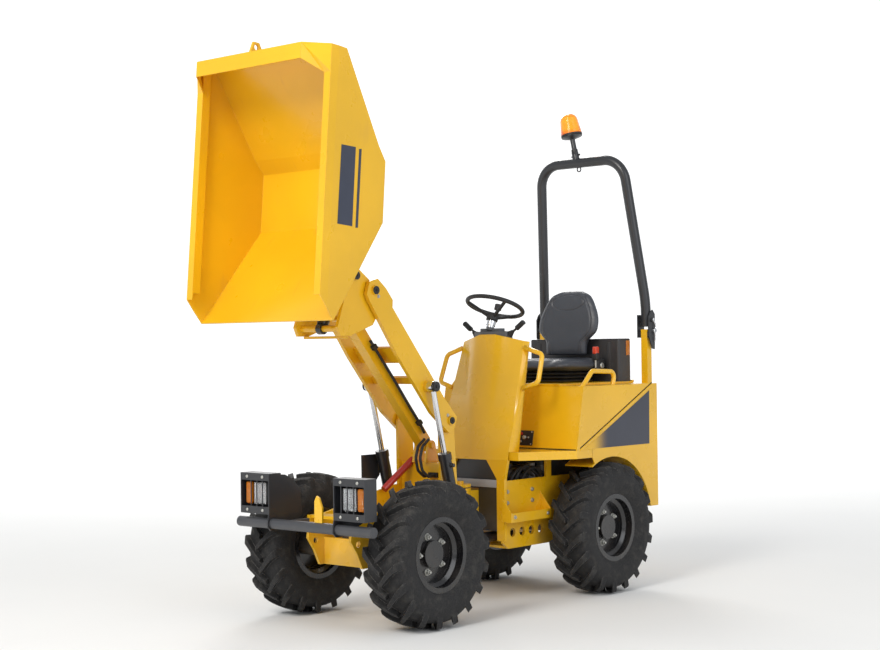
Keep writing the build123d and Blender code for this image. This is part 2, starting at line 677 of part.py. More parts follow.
def skip():
    """The open steel skip with its rim bars, raised headboard, lifting eye and tipping brackets."""
    rim_z = SKIP_RIM_ABOVE
    mouth_y = SKIP_REAR - SKIP_MOUTH
    lip_y = SKIP_REAR - SKIP_LENGTH
    side_cut = plate_x(
        [
            (SKIP_REAR + 50, rim_z),
            (mouth_y, rim_z),
            (lip_y, rim_z - SKIP_LIP_DROP),
            (lip_y, rim_z - 600),
            (SKIP_REAR + 50, rim_z - 600),
        ],
        -600,
        600,
    )
    board_cut = plate_y(
        [
            (-HEADBOARD_HALF, rim_z + HEADBOARD_RISE),
            (HEADBOARD_HALF, rim_z + HEADBOARD_RISE),
            (SKIP_HALF_TOP, rim_z - 1),
            (SKIP_HALF_TOP, rim_z - SKIP_DEPTH),
            (-SKIP_HALF_TOP, rim_z - SKIP_DEPTH),
            (-SKIP_HALF_TOP, rim_z - 1),
        ],
        SKIP_REAR - SKIP_SHEET,
        SKIP_REAR + 10,
    )
    outside = skip_form(0, 0)
    inside = skip_form(-SKIP_SHEET, -SKIP_SHEET)
    tub = outside & (side_cut + board_cut)
    tub -= inside
    rail = block(SKIP_HALF_TOP - RIM_BAR, SKIP_HALF_TOP, mouth_y, SKIP_REAR - 1, rim_z - SKIP_SHEET, rim_z)
    rail += block(SKIP_HALF_TOP - RIM_BAR, SKIP_HALF_TOP - RIM_BAR + 5, mouth_y + 30, SKIP_REAR - 1, rim_z - RIM_BAR_DEPTH, rim_z)
    tub += both_sides(rail)
    flange = plate_z(
        [
            (-HEADBOARD_HALF, SKIP_REAR),
            (HEADBOARD_HALF, SKIP_REAR),
            (HEADBOARD_HALF, SKIP_REAR - HEADBOARD_FLANGE),
            (-HEADBOARD_HALF, SKIP_REAR - HEADBOARD_FLANGE),
        ],
        rim_z + HEADBOARD_RISE - SKIP_SHEET,
        rim_z + HEADBOARD_RISE,
    )
    corner = solid_between(
        [
            (HEADBOARD_HALF - 1, SKIP_REAR, rim_z + HEADBOARD_RISE),
            (HEADBOARD_HALF - 1, SKIP_REAR - HEADBOARD_FLANGE, rim_z + HEADBOARD_RISE),
            (SKIP_HALF_TOP - RIM_BAR, SKIP_REAR - CORNER_RUN, rim_z),
            (SKIP_HALF_TOP, SKIP_REAR - CORNER_RUN, rim_z),
            (SKIP_HALF_TOP, SKIP_REAR, rim_z),
        ],
        SKIP_SHEET,
    )
    tub += flange + both_sides(corner)
    eye = plate_x(
        [
            (SKIP_REAR - 1, rim_z + HEADBOARD_RISE - 12),
            (SKIP_REAR + 52, rim_z + HEADBOARD_RISE - 30),
            (SKIP_REAR + 52, rim_z + HEADBOARD_RISE - 62),
            (SKIP_REAR - 1, rim_z + HEADBOARD_RISE - 95),
        ],
        -6,
        6,
    )
    eye -= rod_x(SKIP_REAR + 30, rim_z + HEADBOARD_RISE - 47, -20, 20, 13)
    tub += eye
    return Pos(0, *SKIP_PIN) * Rot(TIPPED_ANGLE, 0, 0) * tub


def solid_between(points, depth):
    """A thin closed solid below a fan of triangles, given its rim from above."""
    hub, rest = points[0], points[1:]
    total = None
    for a, b in zip(rest, rest[1:]):
        top = [Vector(*hub), Vector(*a), Vector(*b)]
        low = [p - Vector(0, 0, depth) for p in top]
        faces = [Face(Wire.make_polygon(top)), Face(Wire.make_polygon(low))]
        for i in range(3):
            j = (i + 1) % 3
            faces.append(Face(Wire.make_polygon([top[i], top[j], low[j], low[i]])))
        wedge = Solid(Shell(faces))
        total = wedge if total is None else total + wedge
    return total


def skip_brackets():
    """Two ribs under the skip that carry the tipping pin and the tilt ram's eye."""
    floor_z = SKIP_RIM_ABOVE - SKIP_DEPTH
    eye_y, eye_z = TILT_EYE_FROM_PIN
    rib = plate_x(
        [
            (-150, floor_z + 220),
            (-40, -20),
            (10, -34),
            (eye_y - 10, eye_z - 34),
            (eye_y + 34, eye_z - 8),
            (eye_y + 110, floor_z + 60),
            (-150, floor_z + 300),
        ],
        BRACKET_INNER_X,
        BRACKET_OUTER_X,
    )
    rib += rod_x(0, 0, BRACKET_INNER_X, BRACKET_OUTER_X, BOSS_RADIUS)
    rib -= skip_form(0, 0)
    rib -= rod_x(0, 0, 0, 200, PIN_RADIUS + PIN_GAP)
    rib += rod_x(eye_y, eye_z, BRACKET_OUTER_X - 1, BRACKET_OUTER_X + 8, PIN_RADIUS + 3)
    return Pos(0, *SKIP_PIN) * Rot(TIPPED_ANGLE, 0, 0) * both_sides(rib)


def rod_y(x, y0, y1, radius):
    """A round bar along Y."""
    return Pos(x, (y0 + y1) / 2, 0) * Rot(90, 0, 0) * Cylinder(radius, y1 - y0)


def ram_barrel(radius, length, rod_radius, stroke):
    """A ram's barrel along +Y from its foot eye at the origin, bored for its rod."""
    body = rod_y(0, EYE_RADIUS - 6, length, radius)
    body += rod_x(0, 0, -EYE_HALF, EYE_HALF, EYE_RADIUS)
    body -= rod_y(0, length - stroke - ROD_ENGAGED - 5, length + 1, rod_radius + PIN_GAP)
    return body - rod_x(0, 0, -EYE_HALF - 1, EYE_HALF + 1, PIN_RADIUS + PIN_GAP)


def ram_rod(reach, length, rod_radius, inside, eye_half):
    """A ram's rod along +Y, with its eye at the reach and its other end inside the barrel."""
    body = rod_y(0, length - inside, reach, rod_radius)
    return body + rod_x(reach, 0, -eye_half, eye_half, EYE_RADIUS)


def aimed(shape, base, eye, x):
    """A shape built along +Y from the origin, set from one (y, z) pin to another."""
    lean = math.degrees(math.atan2(eye[1] - base[1], eye[0] - base[0]))
    return Pos(x, *base) * Rot(lean, 0, 0) * shape


def lift_rams():
    """The two lift rams, one outside each arm: their barrels and their rods."""
    reach = math.dist(LIFT_RAM_BASE, LIFT_EYE)
    barrel = ram_barrel(LIFT_BARREL_RADIUS, LIFT_BARREL_LENGTH, LIFT_ROD_RADIUS, LIFT_STROKE)
    rod = ram_rod(reach, LIFT_BARREL_LENGTH, LIFT_ROD_RADIUS, ROD_ENGAGED, EYE_HALF)
    rod += rod_x(reach, 0, EYE_HALF - 1, EYE_HALF + 9, PIN_RADIUS)
    places = (LIFT_RAM_BASE, LIFT_EYE, LIFT_RAM_X)
    return both_sides(aimed(barrel, *places)), both_sides(aimed(rod, *places))


def tilt_ram():
    """The ram on the middle plane that tips the skip: its barrel and its rod."""
    reach = math.dist(TILT_BASE, TILT_EYE)
    barrel = ram_barrel(TILT_BARREL_RADIUS, TILT_BARREL_LENGTH, TILT_ROD_RADIUS, TILT_STROKE)
    rod = ram_rod(reach, TILT_BARREL_LENGTH, TILT_ROD_RADIUS, ROD_ENGAGED, EYE_HALF)
    half = BRACKET_INNER_X - PIN_GAP
    rod += rod_x(reach, 0, -half, half, PIN_RADIUS)
    places = (TILT_BASE, TILT_EYE, 0)
    return aimed(barrel, *places), aimed(rod, *places)


def steering_ram():
    """The ram that bends the machine at its pivot: its barrel and its rod."""
    base, eye = STEER_BASE, STEER_EYE
    reach = math.dist(base, eye)
    barrel = ram_barrel(STEER_BARREL_RADIUS, STEER_BARREL_LENGTH, STEER_ROD_RADIUS, STEER_STROKE)
    inside = ROD_ENGAGED + STEER_OUT
    rod = ram_rod(reach, STEER_BARREL_LENGTH, STEER_ROD_RADIUS, inside, EYE_HALF)
    heading = math.degrees(math.atan2(eye[1] - base[1], eye[0] - base[0])) - 90
    place = Pos(base[0], base[1], STEER_RAM_Z) * Rot(0, 0, heading) * Rot(0, 90, 0)
    return place * barrel, place * rod


def sheet(points, thickness):
    """A flat facet given as (x, y, z) points, with its thickness taken rearward."""
    return extrude(make_face(Polyline(*points, close=True)), amount=thickness, dir=(0, 1, 0))


def rear_side_plates():
    """The two side plates of the rear frame, each with its front pillar and its body post."""
    inner, outer = REAR_PLATE_X - PLATE, REAR_PLATE_X
    side = plate_x(
        [
            (REAR_FRONT_Y, REAR_BOTTOM_Z + 30),
            (REAR_FRONT_Y + 40, REAR_BOTTOM_Z),
            (REAR_END_Y - 60, REAR_BOTTOM_Z),
            (REAR_END_Y - 7, 400),
            (REAR_END_Y - 7, REAR_SILL_Z),
            (REAR_FRONT_Y, REAR_SILL_Z),
        ],
        inner,
        outer,
    )
    side -= rod_x(REAR_AXLE_Y, WHEEL_RADIUS, 0, 300, AXLE_TUBE_RADIUS + SEAT_GAP)
    for y in (170, 245, 320, 395):
        side -= rod_x(y, 340, 0, 300, 22)
    side += plate_y(
        [
            (165, REAR_BOTTOM_Z + 40),
            (215, REAR_BOTTOM_Z + 40),
            (215, 610),
            (235, FLOOR_Z - FLOOR_THICKNESS),
            (100, FLOOR_Z - FLOOR_THICKNESS),
            (165, 610),
        ],
        REAR_FRONT_Y,
        REAR_FRONT_Y + 20,
    )
    side += block(inner, outer, 450, 490, REAR_SILL_Z - 1, FLOOR_Z - FLOOR_THICKNESS)
    return both_sides(side)


def side_steps():
    """The folded tread outside each rear side plate."""
    inner, low = REAR_PLATE_X, STEP_Z - SHEET
    y0, y1 = STEP_FRONT_Y, STEP_FRONT_Y + STEP_LENGTH
    step = block(inner, STEP_OUTER_X, REAR_FRONT_Y + 20, y1, low, STEP_Z)
    step += block(inner + 10, STEP_OUTER_X, y0, REAR_FRONT_Y + 21, low, STEP_Z)
    step += block(STEP_OUTER_X - SHEET, STEP_OUTER_X, y0, y1, low, STEP_Z + STEP_LIP)
    end = [(inner, low), (STEP_OUTER_X, low), (STEP_OUTER_X, STEP_Z + STEP_LIP), (inner, STEP_Z + 125)]
    step += plate_y(end, y1 - SHEET, y1)
    front = [(inner + 10, low), (STEP_OUTER_X, low), (STEP_OUTER_X, STEP_Z + STEP_LIP), (inner + 10, STEP_Z + 110)]
    return both_sides(step + plate_y(front, y0, y0 + SHEET))


def rear_cross_plates():
    """The plates that tie the rear frame's side plates, and the hitch ears."""
    half = REAR_PLATE_X - PLATE
    belly = block(-half, half, REAR_FRONT_Y + 40, 474, REAR_BOTTOM_Z, REAR_BOTTOM_Z + 12)
    x, y = STEER_BASE
    belly += rod_z(x, y, REAR_BOTTOM_Z + 11, STEER_RAM_Z - EYE_HALF - PIN_GAP, PIN_RADIUS + 3)
    belly += rod_z(x, y, REAR_BOTTOM_Z + 11, STEER_RAM_Z + EYE_HALF + 8, PIN_RADIUS)
    end = block(-half, half, REAR_END_Y - 22, REAR_END_Y - 7, 400, REAR_SILL_Z)
    for z in (HITCH_LOW_Z, HITCH_HIGH_Z - 12):
        end += block(-HITCH_HALF, HITCH_HALF, REAR_END_Y - 8, REAR_END_Y + 50, z, z + 12)
    end -= rod_z(0, HITCH_PIN_Y, HITCH_LOW_Z - 9, HITCH_HIGH_Z + 9, TOW_PIN_RADIUS + SEAT_GAP)
    ties = [block(-half, half, y, y + 50, 440, 470) for y in (500, 900)]
    return Compound(children=[solid for piece in (belly, end, *ties) for solid in piece.solids()])


def steer_knuckle():
    """The rear frame's front wall and the knuckle that turns on the pivot pin."""
    half = REAR_PLATE_X - PLATE
    low, high = YOKE_LOW_Z + PLATE + RUN_GAP, YOKE_HIGH_Z - PLATE - RUN_GAP
    knuckle = block(-half, half, REAR_FRONT_Y + 21, REAR_FRONT_Y + 33, low - 20, high + 20)
    knuckle += block(-45, 45, 0, REAR_FRONT_Y + 22, low + 15, high - 15)
    knuckle += rod_z(0, 0, low, high, PIVOT_BOSS_RADIUS)
    return knuckle - rod_z(0, 0, low - 1, high + 1, PIVOT_PIN_RADIUS + PIN_GAP)


def tow_pin():
    """The drop pin of the rear hitch."""
    pin = rod_z(0, HITCH_PIN_Y, HITCH_LOW_Z - 8, HITCH_HIGH_Z, TOW_PIN_RADIUS)
    return pin + rod_z(0, HITCH_PIN_Y, HITCH_HIGH_Z, HITCH_HIGH_Z + 18, TOW_PIN_RADIUS + 8)


def front_tank():
    """The hydraulic tank between the rear frame's pillars."""
    y = REAR_FRONT_Y + 2
    lower = block(-164, 164, y, y + 18, 350, 586)
    upper = block(-185, 185, y + 18, y + 26, 598, FLOOR_Z - FLOOR_THICKNESS)
    ledge = plate_x([(y, 586), (y + 18, 586), (y + 26, 599), (y + 18, 599)], -164, 164)
    arm = block(-46, 46, y - 1, y + 19, 420, 560)
    return lower + ledge + upper - arm


def floor_plate():
    """The operator's floor, a folded tray with its front corners cut back."""
    low = FLOOR_Z - FLOOR_THICKNESS
    front = SHIELD_FOOT_CENTRE[1] + 21
    corner = BODY_FRONT_LOW_Y
    outline = [(-FLOOR_FRONT_HALF, front), (FLOOR_FRONT_HALF, front), (BODY_HALF, corner)]
    outline += [(BODY_HALF, 500), (-BODY_HALF, 500), (-BODY_HALF, corner)]
    inner = [(-FLOOR_FRONT_HALF + 4, front + SHEET), (FLOOR_FRONT_HALF - 4, front + SHEET)]
    inner += [(BODY_HALF - SHEET, corner + 3), (BODY_HALF - SHEET, 500 - SHEET)]
    inner += [(-BODY_HALF + SHEET, 500 - SHEET), (-BODY_HALF + SHEET, corner + 3)]
    return plate_z(outline, low, FLOOR_Z) - plate_z(inner, low - 1, FLOOR_Z - SHEET)


def body_sides():
    """The side panels with their wheel arches, and the deck on each side of the engine cover."""
    top, low = BODY_TOP_Z, FLOOR_Z
    panel = plate_x(
        [
            (BODY_FRONT_LOW_Y, low),
            (BODY_FRONT_TOP_Y, top),
            (REAR_END_Y, top),
            (REAR_END_Y, BODY_REAR_BOTTOM_Z),
            (REAR_AXLE_Y, BODY_REAR_BOTTOM_Z),
            (REAR_AXLE_Y - 170, low - FLOOR_THICKNESS),
            (REAR_AXLE_Y - 170, low),
        ],
        BODY_HALF - BODY_SHEET,
        BODY_HALF,
    )
    panel -= rod_x(REAR_AXLE_Y, WHEEL_RADIUS + ARCH_RISE, 300, 600, ARCH_RADIUS)
    deck = block(OPENING_HALF, BODY_HALF, BODY_FRONT_TOP_Y, REAR_END_Y, top - BODY_SHEET, top)
    liner = arch_band(ARCH_RADIUS, BODY_SHEET, REAR_PLATE_X + 80, BODY_HALF)
    return both_sides(panel + deck + liner)


def arch_band(radius, thickness, x0, x1):
    """The wheel-arch liner over a rear tyre, cut off level with the body's lower edge."""
    ring = rod_x(REAR_AXLE_Y, WHEEL_RADIUS + ARCH_RISE, x0, x1, radius + thickness)
    ring -= rod_x(REAR_AXLE_Y, WHEEL_RADIUS + ARCH_RISE, x0 - 1, x1 + 1, radius)
    front = REAR_AXLE_Y - 170
    back = block(x0 - 1, x1 + 1, front, REAR_END_Y - BODY_SHEET, BODY_REAR_BOTTOM_Z, 800)
    return ring & back


def body_front():
    """The body's leaning front wall below the seat."""
    half = BODY_HALF - BODY_SHEET
    lean = plate_x(
        [
            (BODY_FRONT_LOW_Y, FLOOR_Z),
            (BODY_FRONT_TOP_Y, BODY_TOP_Z - BODY_SHEET),
            (BODY_FRONT_TOP_Y + BODY_SHEET, BODY_TOP_Z - BODY_SHEET),
            (BODY_FRONT_LOW_Y + BODY_SHEET, FLOOR_Z),
        ],
        -half,
        half,
    )
    low, high = BODY_TOP_Z - BODY_SHEET, BODY_TOP_Z
    sill = block(-OPENING_HALF, OPENING_HALF, BODY_FRONT_TOP_Y, OPENING_FRONT_Y, low, high)
    return lean + sill


def body_rear():
    """The body's rear wall, with the radiator opening and the engine cover's fixed hinge knuckles."""
    half = BODY_HALF - BODY_SHEET
    y0, y1 = REAR_END_Y - BODY_SHEET, REAR_END_Y
    wall = block(-half, half, y0, y1, BODY_REAR_BOTTOM_Z, BODY_TOP_Z - BODY_SHEET)
    wall -= block(-210, 210, y0 - 1, y1 + 1, 640, 960)
    wall -= block(-HITCH_HALF - 5, HITCH_HALF + 5, y0 - 1, y1 + 1, BODY_REAR_BOTTOM_Z - 1, HITCH_HIGH_Z + 15)
    for x in (-300, 240):
        wall += block(x, x + 60, y1 - 1, HINGE_Y, HINGE_Z - 30, HINGE_Z - 22)
        wall += block(x, x + 60, HINGE_Y - 8, HINGE_Y, HINGE_Z - 30, HINGE_Z)
        wall += rod_x(HINGE_Y, HINGE_Z, x, x + 60, HINGE_RADIUS)
    return wall


def rear_grille():
    """The slatted grille in the body's rear opening."""
    y0, y1 = REAR_END_Y - BODY_SHEET, REAR_END_Y
    grille = block(-210, -202, y0, y1, 640, 960) + block(202, 210, y0, y1, 640, 960)
    for k in range(GRILLE_SLATS):
        z = 640 + 320 * k / (GRILLE_SLATS - 1)
        low, high = max(z - 4, 640), min(z + 4, 960)
        grille += block(-203, 203, y0, y1, low, high)
    return grille


def engine():
    """The engine and pump as plain closed blocks on the rear frame's cross members."""
    block_low, block_high = 470, 900
    motor = block(-150, 150, 500, 950, block_low, block_high)
    pump = block(-90, 90, 250, 501, 480, 660)
    return motor + pump


def shield():
    """The folded steel shield in front of the operator, open behind, with a grab tube each side."""
    floor_low = FLOOR_Z - FLOOR_THICKNESS
    foot_centre = (*SHIELD_FOOT_CENTRE, floor_low)
    foot_corner = (*SHIELD_FOOT_CORNER, floor_low)
    foot_edge = (*SHIELD_FOOT_EDGE, FLOOR_Z)
    rise = (FLOOR_Z - floor_low) / (SHIELD_TOP_CORNER[2] - floor_low)
    flange_foot = tuple(a + (b - a) * rise for a, b in zip(foot_corner, SHIELD_TOP_CORNER))
    facets = [
        (foot_centre, foot_corner, SHIELD_TOP_CORNER),
        (foot_centre, SHIELD_TOP_CORNER, SHIELD_TOP_BEND),
        (foot_centre, SHIELD_TOP_BEND, SHIELD_TOP_CENTRE),
        (flange_foot, foot_edge, SHIELD_TOP_EDGE),
        (flange_foot, SHIELD_TOP_EDGE, SHIELD_TOP_CORNER),
    ]
    half = sheet(facets[0], SHIELD_SHEET)
    for facet in facets[1:]:
        half += sheet(facet, SHIELD_SHEET)
    grip = [(207, 280, 1262), (316, 286, 1228), (325, 236, 1086), (232, 228, 1058)]
    return both_sides(half + tube(grip, HANDLE_RADIUS, 28))


def dash():
    """The instrument pod behind the shield's top edge, with the steering column."""
    front = SHIELD_TOP_CENTRE[1] + SHIELD_SHEET
    plan = [(-50, front), (50, front), (DASH_HALF, front + 21), (DASH_HALF, front + 66)]
    plan += [(-DASH_HALF, front + 66), (-DASH_HALF, front + 21)]
    pod = plate_z(plan, DASH_Z - 38, DASH_Z + 8)
    pod += block(-62, 62, front + 14, front + 60, DASH_Z, DASH_Z + 24)
    foot = Vector(0, *WHEEL_CENTRE) - Vector(*WHEEL_AXIS) * 132
    end = Vector(0, *WHEEL_CENTRE) - Vector(*WHEEL_AXIS) * (WHEEL_DISH + 20 + SEAT_GAP)
    return pod + bar(tuple(foot), tuple(end), COLUMN_RADIUS)


def steering_wheel():
    """The dished three-spoke wheel with its spinner knob, built flat and then leaned."""
    mean = STEERING_RING_RADIUS - STEERING_RING_TUBE
    wheel = Torus(mean, STEERING_RING_TUBE)
    wheel += rod_z(0, 0, -WHEEL_DISH - 20, -WHEEL_DISH + 12, 30)
    for angle in (90, 210, 330):
        spoke = bar((18, 0, -WHEEL_DISH), (mean, 0, 0), 9)
        wheel += Rot(0, 0, angle) * spoke
    knob = rod_z(0, -mean, 0, 34, 7) + rod_z(0, -mean, 30, 58, 19)
    return Pos(0, *WHEEL_CENTRE) * Rot(-WHEEL_TILT, 0, 0) * (wheel + Rot(0, 0, 215) * knob)


def controls():
    """Two hand levers beside the dash and two floor pedals."""
    y = SHIELD_TOP_CENTRE[1] + SHIELD_SHEET + 44
    lever = bar((DASH_HALF - 6, y, DASH_Z - 12), (190, y + 6, DASH_Z + 50), 6)
    lever += bar((152, y + 3, DASH_Z + 21), (196, y + 6, DASH_Z + 54), 12)
    lever -= block(-DASH_HALF, DASH_HALF, y - 40, y + 40, DASH_Z - 60, DASH_Z + 30)
    parts = both_sides(lever).solids()
    for x in (70, 150):
        arm = block(x - 6, x + 6, 250, 262, FLOOR_Z, FLOOR_Z + 90)
        pad = block(x - 30, x + 30, 262, 270, FLOOR_Z + 55, FLOOR_Z + 125)
        parts += (arm + pad).solids()
    return Compound(children=list(parts))


def engine_cover():
    """The flat lid over the engine, hinged along its rear edge."""
    low = BODY_TOP_Z + SEAT_GAP
    lid = block(-COVER_HALF, COVER_HALF, COVER_FRONT_Y, REAR_END_Y - 4, low, low + COVER_THICKNESS)
    for x in (-239, 179):
        lid += block(x, x + 60, REAR_END_Y - 5, HINGE_Y, low + 2, low + COVER_THICKNESS)
        lid += rod_x(HINGE_Y, HINGE_Z, x, x + 60, HINGE_RADIUS)
    return lid


def seat_base():
    """The seat's runner box between the lid and the cushion."""
    low = BODY_TOP_Z + SEAT_GAP + COVER_THICKNESS
    return block(-170, 170, SEAT_FRONT_Y + 30, SEAT_REAR_Y - 10, low, SEAT_CUSHION_Z)


def seat_cushion():
    """The padded cushion, with its front edge rolled down and its corners rounded."""
    low, high = SEAT_CUSHION_Z, SEAT_TOP_Z
    y0, y1 = SEAT_FRONT_Y, SEAT_REAR_Y
    profile = [(y0 + 16, low), (y1, low), (y1, high), (y1 - 82, high), (y1 - 120, high - 10)]
    profile += [(y0 + 150, high - 10), (y0 + 70, high), (y0, high - 30)]
    pad = plate_x(profile, -SEAT_HALF, SEAT_HALF)
    plan = block(-SEAT_HALF, SEAT_HALF, y0 - 1, y1, low - 1, high + 1)
    upright = plan.edges().filter_by(Axis.Z).group_by(Axis.Y)[0]
    return pad & fillet(upright, 60)


def seat_back():
    """The padded backrest, leaning rearward, wide at the shoulders and round at its top."""
    outline = [
        (SEAT_REAR_Y - 78, SEAT_TOP_Z),
        (SEAT_REAR_Y - 8, SEAT_TOP_Z),
        (SEAT_REAR_Y + 8, REAR_BOX_TOP_Z),
        (SEAT_REAR_Y + 46, BACKREST_TOP_Z),
        (SEAT_REAR_Y - 16, BACKREST_TOP_Z),
    ]
    pad = plate_x(outline, -BACKREST_HALF, BACKREST_HALF)
    waist, top = SEAT_TOP_Z + 75, BACKREST_TOP_Z
    half = BACKREST_HALF
    front = [(-half + 60, SEAT_TOP_Z), (half - 60, SEAT_TOP_Z), (half - 60, waist - 20), (half, waist + 30)]
    front += [(half, top - 165), (half - 80, top), (80 - half, top), (-half, top - 165), (-half, waist + 30)]
    front += [(-half + 60, waist - 20)]
    view = plate_y(front, SEAT_REAR_Y - 100, SEAT_REAR_Y + 100)
    high = view.edges().filter_by(Axis.Y).filter_by_position(Axis.Z, top - 200, top + 1)
    return pad & fillet(high, 55)


def rear_box():
    """The closed black housing behind the seat."""
    low = BODY_TOP_Z + SEAT_GAP + COVER_THICKNESS
    housing = block(-300, 300, REAR_BOX_Y, REAR_END_Y - 5, low, REAR_BOX_TOP_Z)
    return fillet(housing.edges().filter_by(Axis.Z), 14)


def rops_posts():
    """The two fixed posts behind the body, with their stays."""
    half = POST_SIZE / 2
    post = block(POST_X - half, POST_X + half, POST_Y - half, POST_Y + half, POST_FOOT_Z, POST_TOP_Z)
    post -= block(POST_X - 16, POST_X + 16, POST_Y - 16, POST_Y + 16, POST_FOOT_Z - 1, POST_TOP_Z - 6)
    for z in (790, 980):
        post += block(POST_X - 15, POST_X + 15, REAR_END_Y, POST_Y - half + 1, z, z + 60)
    return both_sides(post)


def hinge_brackets():
    """The black clevis at the top of each post, with the hoop's hinge pin."""
    half = POST_SIZE / 2
    gap = HOOP_RADIUS + RUN_GAP
    outer = gap + CLEVIS_PLATE
    low, high = POST_TOP_Z - 45, POST_TOP_Z - 15
    clevis = block(POST_X - outer, POST_X + outer, POST_Y - half, POST_Y + half, low, high)
    clevis -= block(POST_X - half, POST_X + half, POST_Y - half - 1, POST_Y + half + 1, low - 1, high + 1)
    clevis += block(POST_X - outer, POST_X - gap, POST_Y - 30, POST_Y + 30, low, HOOP_PIN_Z + 30)
    outline = [
        (POST_Y - 30, HOOP_PIN_Z + 14),
        (POST_Y - 30, low + 8),
        (POST_Y + 4, POST_TOP_Z - 104),
        (POST_Y + 26, POST_TOP_Z - 108),
        (POST_Y + 30, low),
        (POST_Y + 30, HOOP_PIN_Z + 34),
        (POST_Y + 8, HOOP_PIN_Z + 58),
        (POST_Y - 12, HOOP_PIN_Z + 44),
    ]
    clevis += plate_x(outline, POST_X + gap, POST_X + outer)
    clevis += rod_x(POST_Y, HOOP_PIN_Z, POST_X - outer - 8, POST_X + outer + 8, HOOP_PIN_RADIUS)
    return both_sides(clevis)


def rops_hoop():
    """The folding hoop, with the beacon's leaning stalk and a ring eye on its top bar."""
    low = HOOP_PIN_Z - 34
    path = [
        (POST_X, POST_Y, low),
        (POST_X, POST_Y, low + 130),
        (HOOP_SHOULDER_X, HOOP_TOP_Y, HOOP_TOP_Z),
        (-HOOP_SHOULDER_X, HOOP_TOP_Y, HOOP_TOP_Z),
        (-POST_X, POST_Y, low + 130),
        (-POST_X, POST_Y, low),
    ]
    hoop = tube(path, HOOP_RADIUS, [HOOP_LEG_BEND, HOOP_BEND, HOOP_BEND, HOOP_LEG_BEND])
    hoop -= rod_x(POST_Y, HOOP_PIN_Z, -600, 600, HOOP_PIN_RADIUS + PIN_GAP)
    ring = Pos(STALK_X + 14, HOOP_TOP_Y, HOOP_TOP_Z - HOOP_RADIUS - 9) * Rot(90, 0, 0) * Torus(12, 3.5)
    foot = HOOP_RADIUS + 1 + STALK_LENGTH
    stalk = rod_z(0, 0, 0, foot - 10, STALK_RADIUS) + rod_z(0, 0, 0, HOOP_RADIUS + 23, STALK_RADIUS + 5)
    dish = [(0, -14), (STALK_RADIUS + 8, -14), (BEACON_RADIUS - 3, -3), (BEACON_RADIUS - 3, 0), (0, 0)]
    section = make_face(Polyline(*[(r, 0, foot + z) for r, z in dish], close=True))
    return hoop + ring + leaned(stalk + revolve(section, axis=Axis.Z))


def leaned(shape):
    """A shape built upright from the stalk's foot, set on the hoop's top bar at the stalk's lean."""
    return Pos(STALK_X, HOOP_TOP_Y, HOOP_TOP_Z) * Rot(0, -STALK_LEAN, 0) * shape


def beacon():
    """The amber beacon lens, a dome that narrows upward."""
    foot = HOOP_RADIUS + 1 + STALK_LENGTH
    top = foot + BEACON_HEIGHT
    side = [(0, foot), (BEACON_RADIUS, foot), (BEACON_RADIUS * 0.78, top), (0, top)]
    dome = revolve(make_face(Polyline(*[(r, 0, z) for r, z in side], close=True)), axis=Axis.Z)
    return leaned(fillet(dome.edges().sort_by(Axis.Z)[-1], BEACON_RADIUS * 0.6))


def hip_handles():
    """A bent grab tube on each side of the rear deck."""
    deck = BODY_TOP_Z
    path = [(430, 446, deck - 20), (430, 547, deck + 75), (430, 744, deck + 68), (430, 722, deck - 20)]
    grip = tube(path, HANDLE_RADIUS, 30)
    return both_sides(grip - block(300, 600, 300, 900, deck - 100, deck))


def tail_lamps():
    """A lamp at each lower rear corner of the body."""
    return both_sides(block(330, 440, REAR_END_Y, REAR_END_Y + 32, 560, 640))


def bumper_lug():
    """The pointed towing lug on the bumper, beside the left lamp guard."""
    foot = BUMPER_Z + 10
    outline = [(70, foot), (118, foot), (118, 560), (100, 603), (84, 612), (70, 588)]
    lug_plate = plate_y(outline, BUMPER_Y - 6, BUMPER_Y + 4)
    return lug_plate - rod_x(BUMPER_Y, BUMPER_Z, 0, 200, BUMPER_RADIUS)


def guard_plate():
    """The dark guard outside the right lift ram, on a tie from the front frame's side plate."""
    low = 556
    outline = [(-437, low), (-400, low), (-316, low + 84), (-300, 745), (-440, 745)]
    guard = plate_x(outline, -GUARD_PLATE_X - SHEET, -GUARD_PLATE_X)
    tie = block(-GUARD_PLATE_X - 1, -CHASSIS_INNER_X - PLATE, -437, -423, low, low + 12)
    return guard + tie


def safety_prop():
    """The red strut that holds the raised arms, stowed on the tower's front."""
    face = TOWER_FRONT_Y + 24
    strut = bar((-62, face + 30, 738), (-100, -440, 585), 17)
    return strut - block(-200, 0, face, face + 200, 500, 900)


def held_hose():
    """The tilt ram's hose along the levelling link, in two clamps."""
    x, t = LINK_HALF + 12, 12
    path = [(x, -78, t - 6), (x, -130, t), (x, -240, t - 2), (x, -400, t + 1), (x, -560, t), (x, -660, t - 1)]
    hose = tube(path, HOSE_RADIUS, 90)
    clamps = None
    for s in (140, 620):
        clamp = block(LINK_HALF, x + 11, -s - 12, -s + 12, t - 12, t + 11)
        clamps = clamp if clamps is None else clamps + clamp
    return Pos(0, *LINK_PIVOT) * Rot(-RAISED_ANGLE, 0, 0) * (hose + clamps)


def tower_hoses():
    """The two hoses that loop down in front of the tower, from a union block on its front."""
    face = TOWER_FRONT_Y + 24
    union = block(56, 112, face - 18, face, 640, 664)
    for x in (70, 98):
        route = [
            (x, face - 17, 652),
            (x, face - 62, 648),
            (x + 3, face - 108, 680),
            (x + 2, face - 122, 740),
            (x - 4, face - 96, 796),
            (x - 10, face - 44, 826),
        ]
        union += tube(route, HOSE_RADIUS, [24, 30, 34, 36])
    return union


lift_barrels, lift_rods = lift_rams()
tilt_barrel, tilt_rod = tilt_ram()
steer_barrel, steer_rod = steering_ram()

